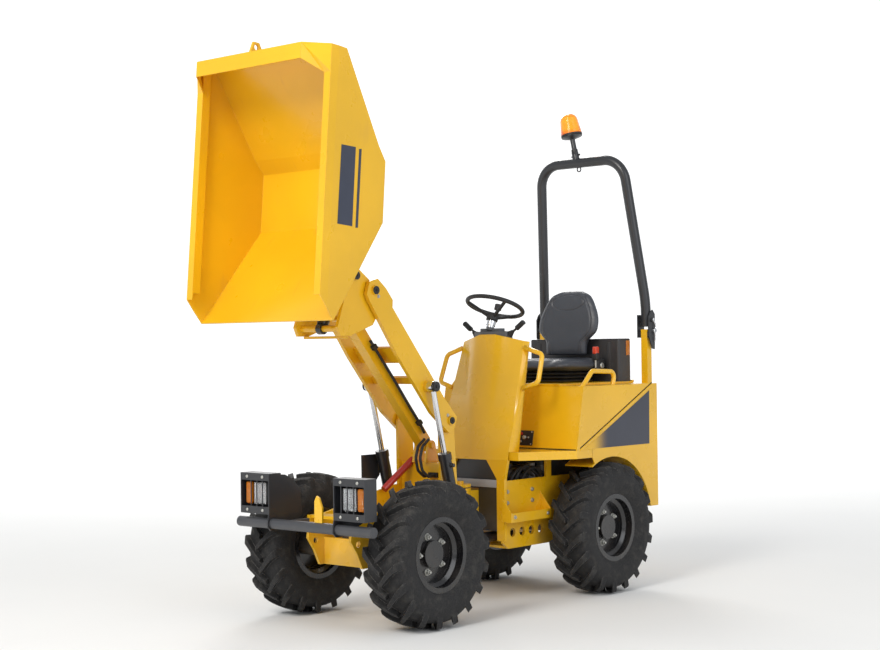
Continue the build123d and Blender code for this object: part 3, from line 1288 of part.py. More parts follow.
nodes = {
    "rear_side_plates": rear_side_plates(),
    "side_steps": side_steps(),
    "rear_cross_plates": rear_cross_plates(),
    "steer_knuckle": steer_knuckle(),
    "tow_pin": tow_pin(),
    "front_tank": front_tank(),
    "floor_plate": floor_plate(),
    "body_sides": body_sides(),
    "body_front": body_front(),
    "body_rear": body_rear(),
    "rear_grille": rear_grille(),
    "engine": engine(),
    "shield": shield(),
    "dash": dash(),
    "controls": controls(),
    "rops_posts": rops_posts(),
    "hinge_brackets": hinge_brackets(),
    "hip_handles": hip_handles(),
    "tail_lamps": tail_lamps(),
    "rear_axle": axle(REAR_AXLE_Y, REAR_PLATE_X),
    "steering_wheel": steering_wheel(),
    "engine_cover": engine_cover(),
    "seat_base": seat_base(),
    "seat_cushion": seat_cushion(),
    "seat_back": seat_back(),
    "rear_box": rear_box(),
    "rops_hoop": rops_hoop(),
    "beacon": beacon(),
    "front_side_plates": front_side_plates(),
    "front_cross_plates": front_cross_plates(),
    "lift_tower": lift_tower(),
    "steer_yoke": steer_yoke(),
    "front_axle": axle(FRONT_AXLE_Y, CHASSIS_INNER_X + PLATE),
    "bumper": bumper(),
    "safety_prop": safety_prop(),
    "tower_hoses": tower_hoses(),
    "lamp_guards": lamp_guards(),
    "headlamps": headlamps(),
    "indicators": indicators(),
    "lift_arms": lift_arms(),
    "level_link": level_link(),
    "held_hose": held_hose(),
    "carrier": carrier(),
    "skip": skip(),
    "skip_brackets": skip_brackets(),
    "lift_barrels": lift_barrels,
    "lift_rods": lift_rods,
    "tilt_barrel": tilt_barrel,
    "tilt_rod": tilt_rod,
    "steer_barrel": steer_barrel,
    "steer_rod": steer_rod,
}
lugged_tyre = tyre()
for corner, side, axle_y in (
    ("front_left", 1, FRONT_AXLE_Y),
    ("front_right", -1, FRONT_AXLE_Y),
    ("rear_left", 1, REAR_AXLE_Y),
    ("rear_right", -1, REAR_AXLE_Y),
):
    nodes["tyre_" + corner] = Pos(side * WHEEL_PLANE_X, axle_y, WHEEL_RADIUS) * lugged_tyre
    nodes["rim_" + corner] = rim(side, axle_y)

front_reach = nodes["skip"].bounding_box().min.Y
shift = -(front_reach + POST_REAR) / 2
os.makedirs("parts", exist_ok=True)
for name, shape in nodes.items():
    export_step(Pos(0, shift, 0) * shape, os.path.join("parts", name + ".step"))
print("moved rearward by", round(shift, 3))
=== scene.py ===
import json
import math

import bmesh
import bpy
from mathutils import Matrix, Vector


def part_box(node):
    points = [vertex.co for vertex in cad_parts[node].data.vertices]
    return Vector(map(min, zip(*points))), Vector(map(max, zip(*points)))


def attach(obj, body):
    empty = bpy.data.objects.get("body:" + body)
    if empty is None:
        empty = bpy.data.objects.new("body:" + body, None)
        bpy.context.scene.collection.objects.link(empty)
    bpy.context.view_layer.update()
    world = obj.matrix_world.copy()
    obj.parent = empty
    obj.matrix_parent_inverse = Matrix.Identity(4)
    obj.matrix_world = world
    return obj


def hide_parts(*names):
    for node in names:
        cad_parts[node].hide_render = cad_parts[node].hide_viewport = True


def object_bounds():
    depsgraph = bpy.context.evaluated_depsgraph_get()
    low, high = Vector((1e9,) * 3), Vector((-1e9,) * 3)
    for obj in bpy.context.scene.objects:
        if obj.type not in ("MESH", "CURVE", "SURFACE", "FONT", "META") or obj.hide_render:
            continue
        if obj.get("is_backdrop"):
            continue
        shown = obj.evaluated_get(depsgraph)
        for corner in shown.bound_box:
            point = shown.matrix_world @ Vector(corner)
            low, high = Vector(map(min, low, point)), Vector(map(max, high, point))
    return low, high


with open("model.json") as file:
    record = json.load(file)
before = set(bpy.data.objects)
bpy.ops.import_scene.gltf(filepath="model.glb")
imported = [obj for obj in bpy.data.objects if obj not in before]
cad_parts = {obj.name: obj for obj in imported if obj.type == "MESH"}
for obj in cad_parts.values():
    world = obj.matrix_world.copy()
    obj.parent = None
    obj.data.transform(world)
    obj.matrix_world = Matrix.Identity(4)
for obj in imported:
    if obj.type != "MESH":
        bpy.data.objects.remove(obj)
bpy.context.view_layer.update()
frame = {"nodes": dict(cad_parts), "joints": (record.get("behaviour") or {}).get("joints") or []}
joints = {joint["name"]: joint for joint in frame["joints"]}


def pivot(name):
    """Where a joint turns, in metres."""
    return Vector(joints[name]["pos_m"])


# ---------------------------------------------------------------------------------------------
# Stage: a pale studio floor that curves up into a wall, three large soft lamps and a long lens at
# the height of the seat, to the machine's front left.
STAGE_COLOUR = (0.80, 0.80, 0.79, 1)
CAMERA_PLACE = (5.2439, -5.9706, 1.2734)
CAMERA_YAW, CAMERA_RISE, CAMERA_ROLL = 41.4262, 0.7622, -0.6801
LENS_MM = 65.555


class Flow:
    """A shader socket that takes part in plain arithmetic."""

    def __init__(self, finish, socket):
        self.finish, self.socket = finish, socket

    def _maths(self, operation, *values):
        return self.finish.node("ShaderNodeMath", {"operation": operation}, *values)

    def __add__(self, other):
        return self._maths("ADD", self, other)

    def __sub__(self, other):
        return self._maths("SUBTRACT", self, other)

    def __rsub__(self, other):
        return self._maths("SUBTRACT", other, self)

    def __mul__(self, other):
        return self._maths("MULTIPLY", self, other)

    def __truediv__(self, other):
        return self._maths("DIVIDE", self, other)

    def __pow__(self, other):
        return self._maths("POWER", self, other)

    __radd__ = __add__
    __rmul__ = __mul__

    def above(self, edge):
        return self._maths("GREATER_THAN", self, edge)

    def size(self):
        return self._maths("ABSOLUTE", self)

    def ramp(self, start, end, low=0.0, high=1.0):
        """Goes smoothly from low to high while this goes from start to end."""
        settings = {"interpolation_type": "SMOOTHSTEP"}
        return self.finish.node("ShaderNodeMapRange", settings, self, start, end, low, high)


class Finish:
    """A material and its node tree, made one node at a time."""

    def __init__(self, name, **constants):
        self.material = bpy.data.materials.new(name)
        self.material.use_nodes = True
        self.tree = self.material.node_tree
        self.shader = self.tree.nodes["Principled BSDF"]
        for socket, value in constants.items():
            self.shader.inputs[socket.replace("_", " ")].default_value = value

    def node(self, kind, settings, *values, output=0, **named):
        """Adds a node: its settings first, then values or links for its sockets by order or name."""
        made = self.tree.nodes.new(kind)
        for setting, value in settings.items():
            if setting == "stops":
                self.set_stops(made.color_ramp, value)
            else:
                setattr(made, setting, value)
        sockets = list(zip(made.inputs, values))
        sockets += [(made.inputs[name.replace("_", " ")], value) for name, value in named.items()]
        for socket, value in sockets:
            self.join(value, socket)
        return Flow(self, made.outputs[output])

    @staticmethod
    def set_stops(ramp, stops):
        for element, (place, colour) in zip(ramp.elements, (stops[0], stops[-1])):
            element.position, element.color = place, colour
        for place, colour in stops[1:-1]:
            ramp.elements.new(place).color = colour

    def join(self, value, socket):
        if isinstance(value, Flow):
            self.tree.links.new(value.socket, socket)
        elif value is not None:
            socket.default_value = value

    def place(self):
        """Object coordinates, which are the part's own metres."""
        return self.node("ShaderNodeTexCoord", {}, output=3)

    def axes(self):
        """The three object coordinates apart."""
        split = self.node("ShaderNodeSeparateXYZ", {}, self.place())
        outputs = split.socket.node.outputs
        return [Flow(self, outputs[index]) for index in range(3)]

    def noise(self, scale, detail=3.0, stretch=(1, 1, 1), output=0):
        place = self.node("ShaderNodeMapping", {}, Vector=self.place(), Scale=stretch)
        return self.node("ShaderNodeTexNoise", {}, Vector=place, Scale=scale, Detail=detail, output=output)

    def mix(self, factor, first, second):
        """Colours mixed by a factor from 0 to 1."""
        settings = {"data_type": "RGBA"}
        made = self.node("ShaderNodeMix", settings, output=2)
        sockets = made.socket.node.inputs
        for socket, value in ((sockets[0], factor), (sockets[6], first), (sockets[7], second)):
            self.join(value, socket)
        return made

    def bump(self, height, distance, strength=1.0, normal=None):
        return self.node(
            "ShaderNodeBump", {}, Strength=strength, Distance=distance, Height=height, Normal=normal)

    def soft_edges(self, radius):
        """The normal of a surface whose edges are rounded off a little."""
        return self.node("ShaderNodeBevel", {"samples": 4}, Radius=radius)

    def edges(self, radius):
        """1 along sharp edges and 0 on flat faces."""
        geometry = self.node("ShaderNodeNewGeometry", {}, output=1)
        dot = {"operation": "DOT_PRODUCT"}
        facing = self.node("ShaderNodeVectorMath", dot, self.soft_edges(radius), geometry, output=1)
        return (1 - facing).ramp(0.02, 0.16)

    def flutes(self, axis, pace):
        """Waves across a lens along one axis, from -1 to 1."""
        return self.node("ShaderNodeMath", {"operation": "SINE"}, self.axes()[axis] * pace)

    def show(self, **inputs):
        """Links what varies to the shader's own sockets."""
        for socket, value in inputs.items():
            self.join(value, self.shader.inputs[socket.replace("_", " ")])
        return self.material


def finish_object(name, mesh, material):
    """A new piece from a mesh, with its material, at the origin."""
    piece = bpy.data.objects.new(name, mesh)
    bpy.context.scene.collection.objects.link(piece)
    mesh.materials.clear()
    mesh.materials.append(material)
    return piece


def skin(form, rows, closed=True):
    """Adds faces between rows of vertices, all round each row or only along it."""
    for near, far in zip(rows, rows[1:]):
        for index in range(len(near) if closed else len(near) - 1):
            after = (index + 1) % len(near)
            form.faces.new((near[index], near[after], far[after], far[index]))


def round_angles(count):
    """Even steps round a whole turn."""
    return [2 * math.pi * index / count for index in range(count)]


def sweep_of_floor():
    """The floor with a wall behind it, in one curved sheet."""
    half, depth, bend, height = 30.0, 22.0, 6.0, 16.0
    line = [(-depth, 0.0), (depth - bend, 0.0)]
    for step in range(1, 13):
        angle = math.pi / 2 * step / 12
        line.append((depth - bend + bend * math.sin(angle), bend - bend * math.cos(angle)))
    line.append((depth, height))
    form = bmesh.new()
    skin(form, [[form.verts.new((x, y, z)) for x in (-half, half)] for y, z in line], False)
    form.transform(Matrix.Rotation(math.radians(CAMERA_YAW), 4, "Z"))
    mesh = bpy.data.meshes.new("studio_sweep")
    form.to_mesh(mesh)
    form.free()
    mesh.polygons.foreach_set("use_smooth", [True] * len(mesh.polygons))
    return mesh


stage_finish = Finish("studio_paper", Roughness=0.9)
grain = stage_finish.noise(1.4, 4.0)
paper = stage_finish.mix(grain, STAGE_COLOUR, tuple(0.97 * c for c in STAGE_COLOUR[:3]) + (1,))
stage_finish.show(Base_Color=paper)
seen = [stage_finish.node("ShaderNodeLightPath", {}, output=index) for index in (0, 5, 6)]
across, along, _ = stage_finish.axes()
distance = (across * across + along * along) ** 0.5
pale = (seen[0] + seen[1] + seen[2]).ramp(0.0, 1.0) * distance.ramp(2.0, 13.0)
stage_finish.shader.inputs["Emission Strength"].default_value = 0.62
stage_finish.show(Emission_Color=stage_finish.mix(pale, (0, 0, 0, 1), (1, 1, 1, 1)))
studio_floor = finish_object("studio_floor", sweep_of_floor(), stage_finish.material)
studio_floor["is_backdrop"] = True

world = bpy.data.worlds.new("studio")
bpy.context.scene.world = world
world.use_nodes = True
world.node_tree.nodes["Background"].inputs["Color"].default_value = (0.93, 0.96, 1.0, 1)
world.node_tree.nodes["Background"].inputs["Strength"].default_value = 0.55

# name, place, size in metres, power in watts, colour
STUDIO_LAMPS = (
    ("key_lamp", (1.2, -7.5, 6.5), 3.2, 520, (1.0, 0.97, 0.92)),
    ("fill_lamp", (7.5, -1.0, 4.0), 5.0, 170, (0.95, 0.97, 1.0)),
    ("rim_lamp", (-5.0, 5.0, 6.0), 3.0, 240, (1.0, 0.98, 0.95)),
)
for name, place, size, power, colour in STUDIO_LAMPS:
    lamp = bpy.data.lights.new(name, "AREA")
    lamp.energy, lamp.size, lamp.color = power, size, colour
    holder = bpy.data.objects.new(name, lamp)
    holder.location = place
    holder.rotation_euler = (Vector((0, 0, 1.0)) - Vector(place)).to_track_quat("-Z", "Y").to_euler()
    bpy.context.scene.collection.objects.link(holder)

camera = bpy.data.objects.new("studio_camera", bpy.data.cameras.new("studio_camera"))
camera.data.lens, camera.data.sensor_width = LENS_MM, 36.0
yaw, rise, roll = (math.radians(a) for a in (CAMERA_YAW, CAMERA_RISE, CAMERA_ROLL))
looks = Vector((-math.sin(yaw) * math.cos(rise), math.cos(yaw) * math.cos(rise), math.sin(rise)))
level = Vector((math.cos(yaw), math.sin(yaw), 0.0))
upright = level.cross(looks)
right_side = level * math.cos(roll) + upright * math.sin(roll)
top_side = upright * math.cos(roll) - level * math.sin(roll)
turn = Matrix((right_side, top_side, -looks)).transposed()
camera.matrix_world = Matrix.Translation(CAMERA_PLACE) @ turn.to_4x4()
bpy.context.scene.collection.objects.link(camera)
bpy.context.scene.camera = camera
bpy.context.scene.view_settings.view_transform = "Standard"


# ---------------------------------------------------------------------------------------------
# Front frame: two flame-cut side plates tied by cross plates, the tower for the arms and the
# steering yoke, all welded steel under two coats of yellow, baked on before it is put together.
YELLOW = (0.84, 0.47, 0.008)
DUST = (0.42, 0.34, 0.25, 1)
DUST_TOP = 0.62


def shade(colour, share):
    """A colour made darker or lighter, with its alpha."""
    return tuple(min(1.0, share * c) for c in colour[:3]) + (1,)


def painted(name, colour, roughness, dust, coat=0.4, chip=0.35):
    """Baked paint: faint tone, orange peel, edges where it pulled thin, and road dust low down."""
    paint = Finish(name, Coat_Weight=coat, Coat_Roughness=0.12, Specular_IOR_Level=0.5)
    tone = paint.noise(2.6, 4.0)
    cloud = paint.noise(9.0, 6.0)
    speck = paint.noise(160.0, 2.0)
    edge = paint.edges(0.0045)
    base = paint.mix(tone.ramp(0.3, 0.7), shade(colour, 0.94), shade(colour, 1.05))
    base = paint.mix(edge * speck.ramp(0.42, 0.62) * chip, base, shade(colour, 1.45))
    height = paint.axes()[2]
    low = height.ramp(DUST_TOP, 0.05) * cloud.ramp(0.35, 0.75) * dust
    base = paint.mix(low, base, DUST)
    peel = paint.bump(paint.noise(420.0, 1.0), 0.0004, 0.25, paint.soft_edges(0.0028))
    rough = roughness + cloud * 0.08 + low * 0.5
    return paint.show(Base_Color=base, Roughness=rough, Normal=peel)


yellow_paint = painted("yellow_paint", YELLOW, 0.24, 0.35)


def dress(material, *nodes):
    """Gives CAD nodes their material."""
    for node in nodes:
        mesh = frame["nodes"][node].data
        mesh.materials.clear()
        mesh.materials.append(material)


dress(yellow_paint, "front_side_plates", "front_cross_plates", "lift_tower", "steer_yoke")


# ---------------------------------------------------------------------------------------------
# Axles: a tube through each frame with a wheel motor bolted on at each end, cast iron in black
# chassis paint.
cast_iron = painted("cast_iron", (0.035, 0.035, 0.038), 0.55, 0.7, coat=0.0, chip=0.2)
dress(cast_iron, "front_axle", "rear_axle")


# ---------------------------------------------------------------------------------------------
# Tyres: cross-ply traction tyres with slanted bars, moulded in black rubber that goes grey with
# dust between the bars.
BARS = 18
BAR_HEIGHT = 0.027
BAR_SWEEP = math.radians(17.5)
CORNERS = ("front_left", "front_right", "rear_left", "rear_right")


def spun(profile, steps, cyclic=True):
    """A mesh turned round the X axis from (x, radius) points."""
    form = bmesh.new()
    rings = [
        [form.verts.new((x, r * math.cos(angle), r * math.sin(angle))) for x, r in profile]
        for angle in round_angles(steps)]
    skin(form, rings + rings[:1], cyclic)
    bmesh.ops.remove_doubles(form, verts=form.verts, dist=1e-6)
    bmesh.ops.recalc_face_normals(form, faces=form.faces)
    return form


def meshed(form, name, smooth_degrees=40):
    """A finished mesh from a bmesh, smooth across all but its sharp edges."""
    mesh = bpy.data.meshes.new(name)
    form.to_mesh(mesh)
    form.free()
    mesh.polygons.foreach_set("use_smooth", [True] * len(mesh.polygons))
    mesh.set_sharp_from_angle(angle=math.radians(smooth_degrees))
    return mesh


class Pattern:
    """A Geometry Nodes tree with named inputs, whose result is taken as a plain mesh."""

    def __init__(self, name, **inputs):
        self.tree = bpy.data.node_groups.new(name, "GeometryNodeTree")
        face = self.tree.interface
        face.new_socket(name="Geometry", in_out="INPUT", socket_type="NodeSocketGeometry")
        self.identifiers = {}
        for label, kind in inputs.items():
            made = face.new_socket(name=label, in_out="INPUT", socket_type="NodeSocket" + kind)
            self.identifiers[label] = made.identifier
        face.new_socket(name="Geometry", in_out="OUTPUT", socket_type="NodeSocketGeometry")
        self.start = self.tree.nodes.new("NodeGroupInput")

    def given(self, label):
        return self.start.outputs[label]

    def node(self, kind, settings=None, output=0, **named):
        """Adds a node and gives its first or numbered output."""
        whole = kind if kind.startswith(("Shader", "Function")) else "GeometryNode" + kind
        made = self.tree.nodes.new(whole)
        for setting, value in (settings or {}).items():
            setattr(made, setting, value)
        for name, value in named.items():
            key = name.replace("_", " ")
            socket = made.inputs[int(key[1:])] if key[0] == "n" and key[1:].isdigit() else made.inputs[key]
            if isinstance(value, bpy.types.NodeSocket):
                self.tree.links.new(value, socket)
            else:
                socket.default_value = value
        return made.outputs[output]

    def ends_with(self, geometry):
        """Closes the tree: real geometry in the piece's own material."""
        real = self.node("RealizeInstances", Geometry=geometry)
        dressed = self.node("SetMaterial", Geometry=real, Material=self.given("Material"))
        out = self.tree.nodes.new("NodeGroupOutput")
        self.tree.links.new(dressed, out.inputs[0])

    def grow(self, name, base, **values):
        """A plain mesh of what the tree makes from a base mesh, as a new piece."""
        carrier = bpy.data.objects.new(name + "_carrier", base)
        bpy.context.scene.collection.objects.link(carrier)
        modifier = carrier.modifiers.new("pattern", "NODES")
        modifier.node_group = self.tree
        for label, value in values.items():
            modifier[self.identifiers[label]] = value
        evaluated = carrier.evaluated_get(bpy.context.evaluated_depsgraph_get())
        mesh = bpy.data.meshes.new_from_object(evaluated)
        mesh.name = name
        bpy.data.objects.remove(carrier)
        piece = bpy.data.objects.new(name, mesh)
        bpy.context.scene.collection.objects.link(piece)
        return piece


def hidden(form, name, smooth_degrees=30):
    """A form that only a pattern uses."""
    return bpy.data.objects.new(name, meshed(form, name, smooth_degrees))


ring_pattern = Pattern(
    "ring_of_pieces", Piece="Object", Count="Int", Phase="Float", Centre="Vector", Material="Material")
spots = ring_pattern.node("Points", Count=ring_pattern.given("Count"))
number = ring_pattern.node("InputIndex")
count, phase = ring_pattern.given("Count"), ring_pattern.given("Phase")
share = ring_pattern.node("ShaderNodeMath", {"operation": "DIVIDE"}, n0=number, n1=count)
angle = ring_pattern.node("ShaderNodeMath", {"operation": "MULTIPLY_ADD"}, n0=share, n1=2 * math.pi, n2=phase)
spin = ring_pattern.node("ShaderNodeCombineXYZ", X=angle)
piece = ring_pattern.node("ObjectInfo", output=4, Object=ring_pattern.given("Piece"))
copies = ring_pattern.node("InstanceOnPoints", Points=spots, Instance=piece, Rotation=spin)
moved = ring_pattern.node("Transform", Geometry=copies, Translation=ring_pattern.given("Centre"))
joined = ring_pattern.tree.nodes.new("GeometryNodeJoinGeometry")
ring_pattern.tree.links.new(moved, joined.inputs[0])
ring_pattern.tree.links.new(ring_pattern.given("Geometry"), joined.inputs[0])
ring_pattern.ends_with(joined.outputs[0])


def tyre_profile(half, crown, bead):
    """The carcass from one bead round to the other, as (x, radius)."""
    tread = crown - BAR_HEIGHT
    flank = [
        (0.0, tread),
        (0.45 * half, tread - 0.001),
        (0.78 * half, tread - 0.006),
        (0.93 * half, tread - 0.021),
        (0.985 * half, tread - 0.040),
        (half, tread - 0.062),
        (0.99 * half, tread - 0.082),
        (0.93 * half, tread - 0.103),
        (0.86 * half, tread - 0.117),
        (0.80 * half, bead + 0.021),
        (0.735 * half, bead + 0.014),
        (0.715 * half, bead + 0.004),
        (0.69 * half, bead),
    ]
    return [(-x, r) for x, r in reversed(flank[1:])] + flank


def tread_bar(half, crown, side):
    """One slanted bar from the crown down the shoulder, at the wheel's foremost point."""
    # share of the half width, top radius below the crown, half width of the bar, how deep its foot goes
    SECTIONS = (
        (-0.10, 0.001, 0.010, 0.034),
        (0.16, 0.000, 0.0125, 0.034),
        (0.42, 0.001, 0.0135, 0.035),
        (0.68, 0.004, 0.0150, 0.040),
        (0.88, 0.009, 0.0175, 0.050),
        (0.955, 0.020, 0.0185, 0.060),
        (0.985, 0.046, 0.0150, 0.076),
    )
    form = bmesh.new()
    rows = []
    for share, drop, width, depth in SECTIONS:
        x = side * share * half
        lag = -BAR_SWEEP * max(share, 0.0) ** 0.85
        top, foot = crown - drop, crown - depth
        row = []
        for radius, spread in ((foot, 1.35), (top, 1.0), (top, -1.0), (foot, -1.35)):
            angle = lag + spread * width / crown
            flare = 1.0 if radius == top else 0.985
            row.append(form.verts.new((x * flare, radius * math.cos(angle), radius * math.sin(angle))))
        rows.append(row)
    skin(form, rows, False)
    form.faces.new(rows[0])
    form.faces.new(rows[-1])
    bmesh.ops.recalc_face_normals(form, faces=form.faces)
    return hidden(form, "tread_bar", 25)


rubber = Finish("tyre_rubber", Specular_IOR_Level=0.35)
wheel_dust = rubber.noise(26.0, 6.0)
fine_dust = rubber.noise(150.0, 3.0)
black_rubber = rubber.mix(fine_dust.ramp(0.3, 0.7), (0.014, 0.014, 0.015, 1), (0.027, 0.026, 0.026, 1))
scuffed = rubber.edges(0.005) * fine_dust.ramp(0.35, 0.6) * 0.55
black_rubber = rubber.mix(scuffed, black_rubber, (0.16, 0.155, 0.145, 1))
black_rubber = rubber.mix(wheel_dust.ramp(0.45, 0.8) * 0.16, black_rubber, (0.20, 0.185, 0.16, 1))
rubber_normal = rubber.bump(fine_dust + wheel_dust * 0.6, 0.0012, 0.4, rubber.soft_edges(0.003))
rubber.show(Base_Color=black_rubber, Roughness=0.62 + wheel_dust * 0.25, Normal=rubber_normal)

CROWN_INSET, BEAD_INSET = 0.0005, 0.019
tyre_low, tyre_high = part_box("tyre_front_left")
tyre_half = (tyre_high.x - tyre_low.x) / 2
tyre_crown = (tyre_high.z - tyre_low.z) / 2 - CROWN_INSET
rim_low, rim_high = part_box("rim_front_left")
tyre_bead = (rim_high.z - rim_low.z) / 2 - BEAD_INSET
for corner in CORNERS:
    low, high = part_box("tyre_" + corner)
    centre = (low + high) / 2
    carcass = spun(tyre_profile(tyre_half, tyre_crown, tyre_bead), 72)
    carcass.transform(Matrix.Translation(centre))
    carcass = meshed(carcass, "tyre_" + corner)
    for side, phase in ((1, 0.0), (-1, math.pi / BARS)):
        bar = tread_bar(tyre_half, tyre_crown, side)
        values = {"Piece": bar, "Count": BARS, "Phase": phase, "Centre": centre, "Material": rubber.material}
        grown = ring_pattern.grow("traction_tyre_" + corner, carcass, **values)
        if side == 1:
            carcass = grown.data
            bpy.data.objects.remove(grown)
    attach(grown, "wheel_" + corner)
    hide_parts("tyre_" + corner)


# ---------------------------------------------------------------------------------------------
# Rims: deep-dished steel rims in black chassis paint, each held to its hub by a circle of nuts
# with plain washers.
NUTS = 5
NUT_CIRCLE = 0.083
NUT_HALF_WIDTH = 0.0125
rim_paint = painted("rim_paint", (0.005, 0.005, 0.0065), 0.22, 0.08, coat=0.5, chip=0.2)
dress(rim_paint, *("rim_" + corner for corner in CORNERS))


def mottled(name, tones, cloud, rough, spread, grain=None, relief=None, rounding=0.0, **constants):
    """A finish in two close tones, in clouds that vary its gloss too, with a fine grain if one is given."""
    made = Finish(name, **constants)
    clouds = made.noise(*cloud)
    normal = made.soft_edges(rounding) if rounding else None
    if grain:
        normal = made.bump(made.noise(*grain), *relief, normal)
    colour = made.mix(clouds, *(tuple(tone[:3]) + (1,) for tone in tones))
    made.show(Base_Color=colour, Roughness=rough + clouds * spread, Normal=normal)
    return made


zinc = mottled(
    "zinc_plate", ((0.50, 0.50, 0.47), (0.66, 0.65, 0.60)), (60.0, 4.0), 0.32, 0.22,
    rounding=0.0008, Metallic=0.9)


def prism(form, sides, radius, start, end, chamfer=0.0):
    """Adds an upright prism between two points, its far edge chamfered."""
    start, end = Vector(start), Vector(end)
    length = (end - start).length
    turn = (end - start).to_track_quat("Z", "Y").to_matrix().to_4x4()
    levels = [(0.0, radius), (length - chamfer, radius), (length, radius - chamfer)]
    rows = []
    for height, girth in levels if chamfer else [levels[0], (length, radius)]:
        ring = []
        for angle in round_angles(sides):
            place = turn @ Vector((girth * math.cos(angle), girth * math.sin(angle), height))
            ring.append(form.verts.new(start + place))
        rows.append(ring)
    skin(form, rows)
    form.faces.new(list(reversed(rows[0])))
    form.faces.new(rows[-1])
    return form


def wheel_nut(disc_x, outward):
    """A wheel nut on its washer and stud, above the wheel's centre."""
    form = bmesh.new()
    for sides, radius, near, far, chamfer in (
        (20, NUT_HALF_WIDTH * 1.35, 0.0, 0.003, 0.0008),
        (6, NUT_HALF_WIDTH, 0.002, 0.015, 0.002),
        (12, NUT_HALF_WIDTH * 0.52, 0.010, 0.024, 0.0015),
    ):
        start = (disc_x + outward * near, 0, NUT_CIRCLE)
        prism(form, sides, radius, start, (disc_x + outward * far, 0, NUT_CIRCLE), chamfer)
    return hidden(form, "wheel_nut")


RIM_DISC_FROM_CENTRE = 0.0205
for corner in CORNERS:
    low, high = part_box("rim_" + corner)
    centre = (low + high) / 2
    outward = 1 if centre.x > 0 else -1
    nut = wheel_nut(outward * RIM_DISC_FROM_CENTRE, outward)
    values = {"Piece": nut, "Count": NUTS, "Phase": 0.3, "Centre": centre, "Material": zinc.material}
    nuts = ring_pattern.grow("wheel_nuts_" + corner, bpy.data.meshes.new("empty"), **values)
    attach(nuts, "wheel_" + corner)


# ---------------------------------------------------------------------------------------------
# Bumper and lamp guards: a thick tube across the nose, and on it a folded sheet guard round each
# lamp pair with three thin bars in front, in satin black, held by domed screws.
GUARD_SCREW_RISE, GUARD_SCREW_INSET, GUARD_WIDTH = 0.0765, 0.045, 0.124
black_paint = painted("black_paint", (0.020, 0.021, 0.025), 0.36, 0.25, coat=0.25, chip=0.3)
grey_tube = painted("bumper_paint", (0.055, 0.058, 0.066), 0.40, 0.2, coat=0.2, chip=0.4)
dress(grey_tube, "bumper")
dress(black_paint, "lamp_guards")

fixing_pattern = Pattern("fixings", Piece="Object", Material="Material")
aim = fixing_pattern.node("InputNamedAttribute", {"data_type": "FLOAT_VECTOR"}, Name="aim")
turn = fixing_pattern.node("FunctionNodeAlignRotationToVector", {"axis": "Z"}, Vector=aim)
size = fixing_pattern.node("InputNamedAttribute", {"data_type": "FLOAT"}, Name="size")
piece = fixing_pattern.node("ObjectInfo", output=4, Object=fixing_pattern.given("Piece"))
spots = fixing_pattern.given("Geometry")
heads = fixing_pattern.node("InstanceOnPoints", Points=spots, Instance=piece, Rotation=turn, Scale=size)
fixing_pattern.ends_with(heads)


def hexagon_head():
    """A hexagon head one unit across its corners' half, on a washer."""
    form = bmesh.new()
    prism(form, 20, 1.35, (0, 0, -0.1), (0, 0, 0.22), 0.06)
    prism(form, 6, 1.0, (0, 0, 0.2), (0, 0, 0.95), 0.14)
    return hidden(form, "hexagon_head")


def dome_head():
    """A low domed head with a hexagon socket, one unit in radius."""
    socket = [(0.30, 0.0), (0.30, 0.38)]
    dome = [(0.55, 0.42), (0.52, 0.62), (0.30, 0.92), (0.0, 1.0), (-0.1, 1.0), (-0.1, 0.0)]
    form = spun(socket + dome, 16, False)
    form.transform(Matrix.Rotation(-math.pi / 2, 4, "Y"))
    return hidden(form, "dome_head")


def fixings(name, body, head, rows, sides=(1, -1)):
    """Zinc-plated screw heads as one piece, from rows of (place, outward direction, half width)."""
    rows = [
        ((side * x, y, z), (side * aim[0], *aim[1:]), size)
        for side in sides for (x, y, z), aim, size in rows]
    spots = bpy.data.meshes.new(name)
    spots.from_pydata([tuple(row[0]) for row in rows], [], [])
    spots.attributes.new("aim", "FLOAT_VECTOR", "POINT")
    spots.attributes.new("size", "FLOAT", "POINT")
    for index, (_, direction, half_width) in enumerate(rows):
        spots.attributes["aim"].data[index].vector = direction
        spots.attributes["size"].data[index].value = half_width
    made = fixing_pattern.grow(name, spots, Piece=head, Material=zinc.material)
    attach(made, body)


hexagon, dome = hexagon_head(), dome_head()
guard_low, guard_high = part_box("lamp_guards")
lamp_low, lamp_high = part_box("headlamps")
blinker_low, blinker_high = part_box("indicators")
guard_front = guard_low.y + 0.008
guard_inner = lamp_high.x - GUARD_WIDTH
lamp_level = (lamp_low.z + lamp_high.z) / 2
rows = [
    ((x, guard_front, z), (0, -1, 0), 0.0075)
    for x in (guard_inner + GUARD_SCREW_INSET, guard_high.x - GUARD_SCREW_INSET)
    for z in (lamp_level + GUARD_SCREW_RISE, lamp_level - GUARD_SCREW_RISE)]
fixings("guard_screws", "front_frame", dome, rows)


def piece_from(form, name, material, body, smooth_degrees=40):
    """A finished piece on its body."""
    made = finish_object(name, meshed(form, name, smooth_degrees), material)
    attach(made, body)
    return made


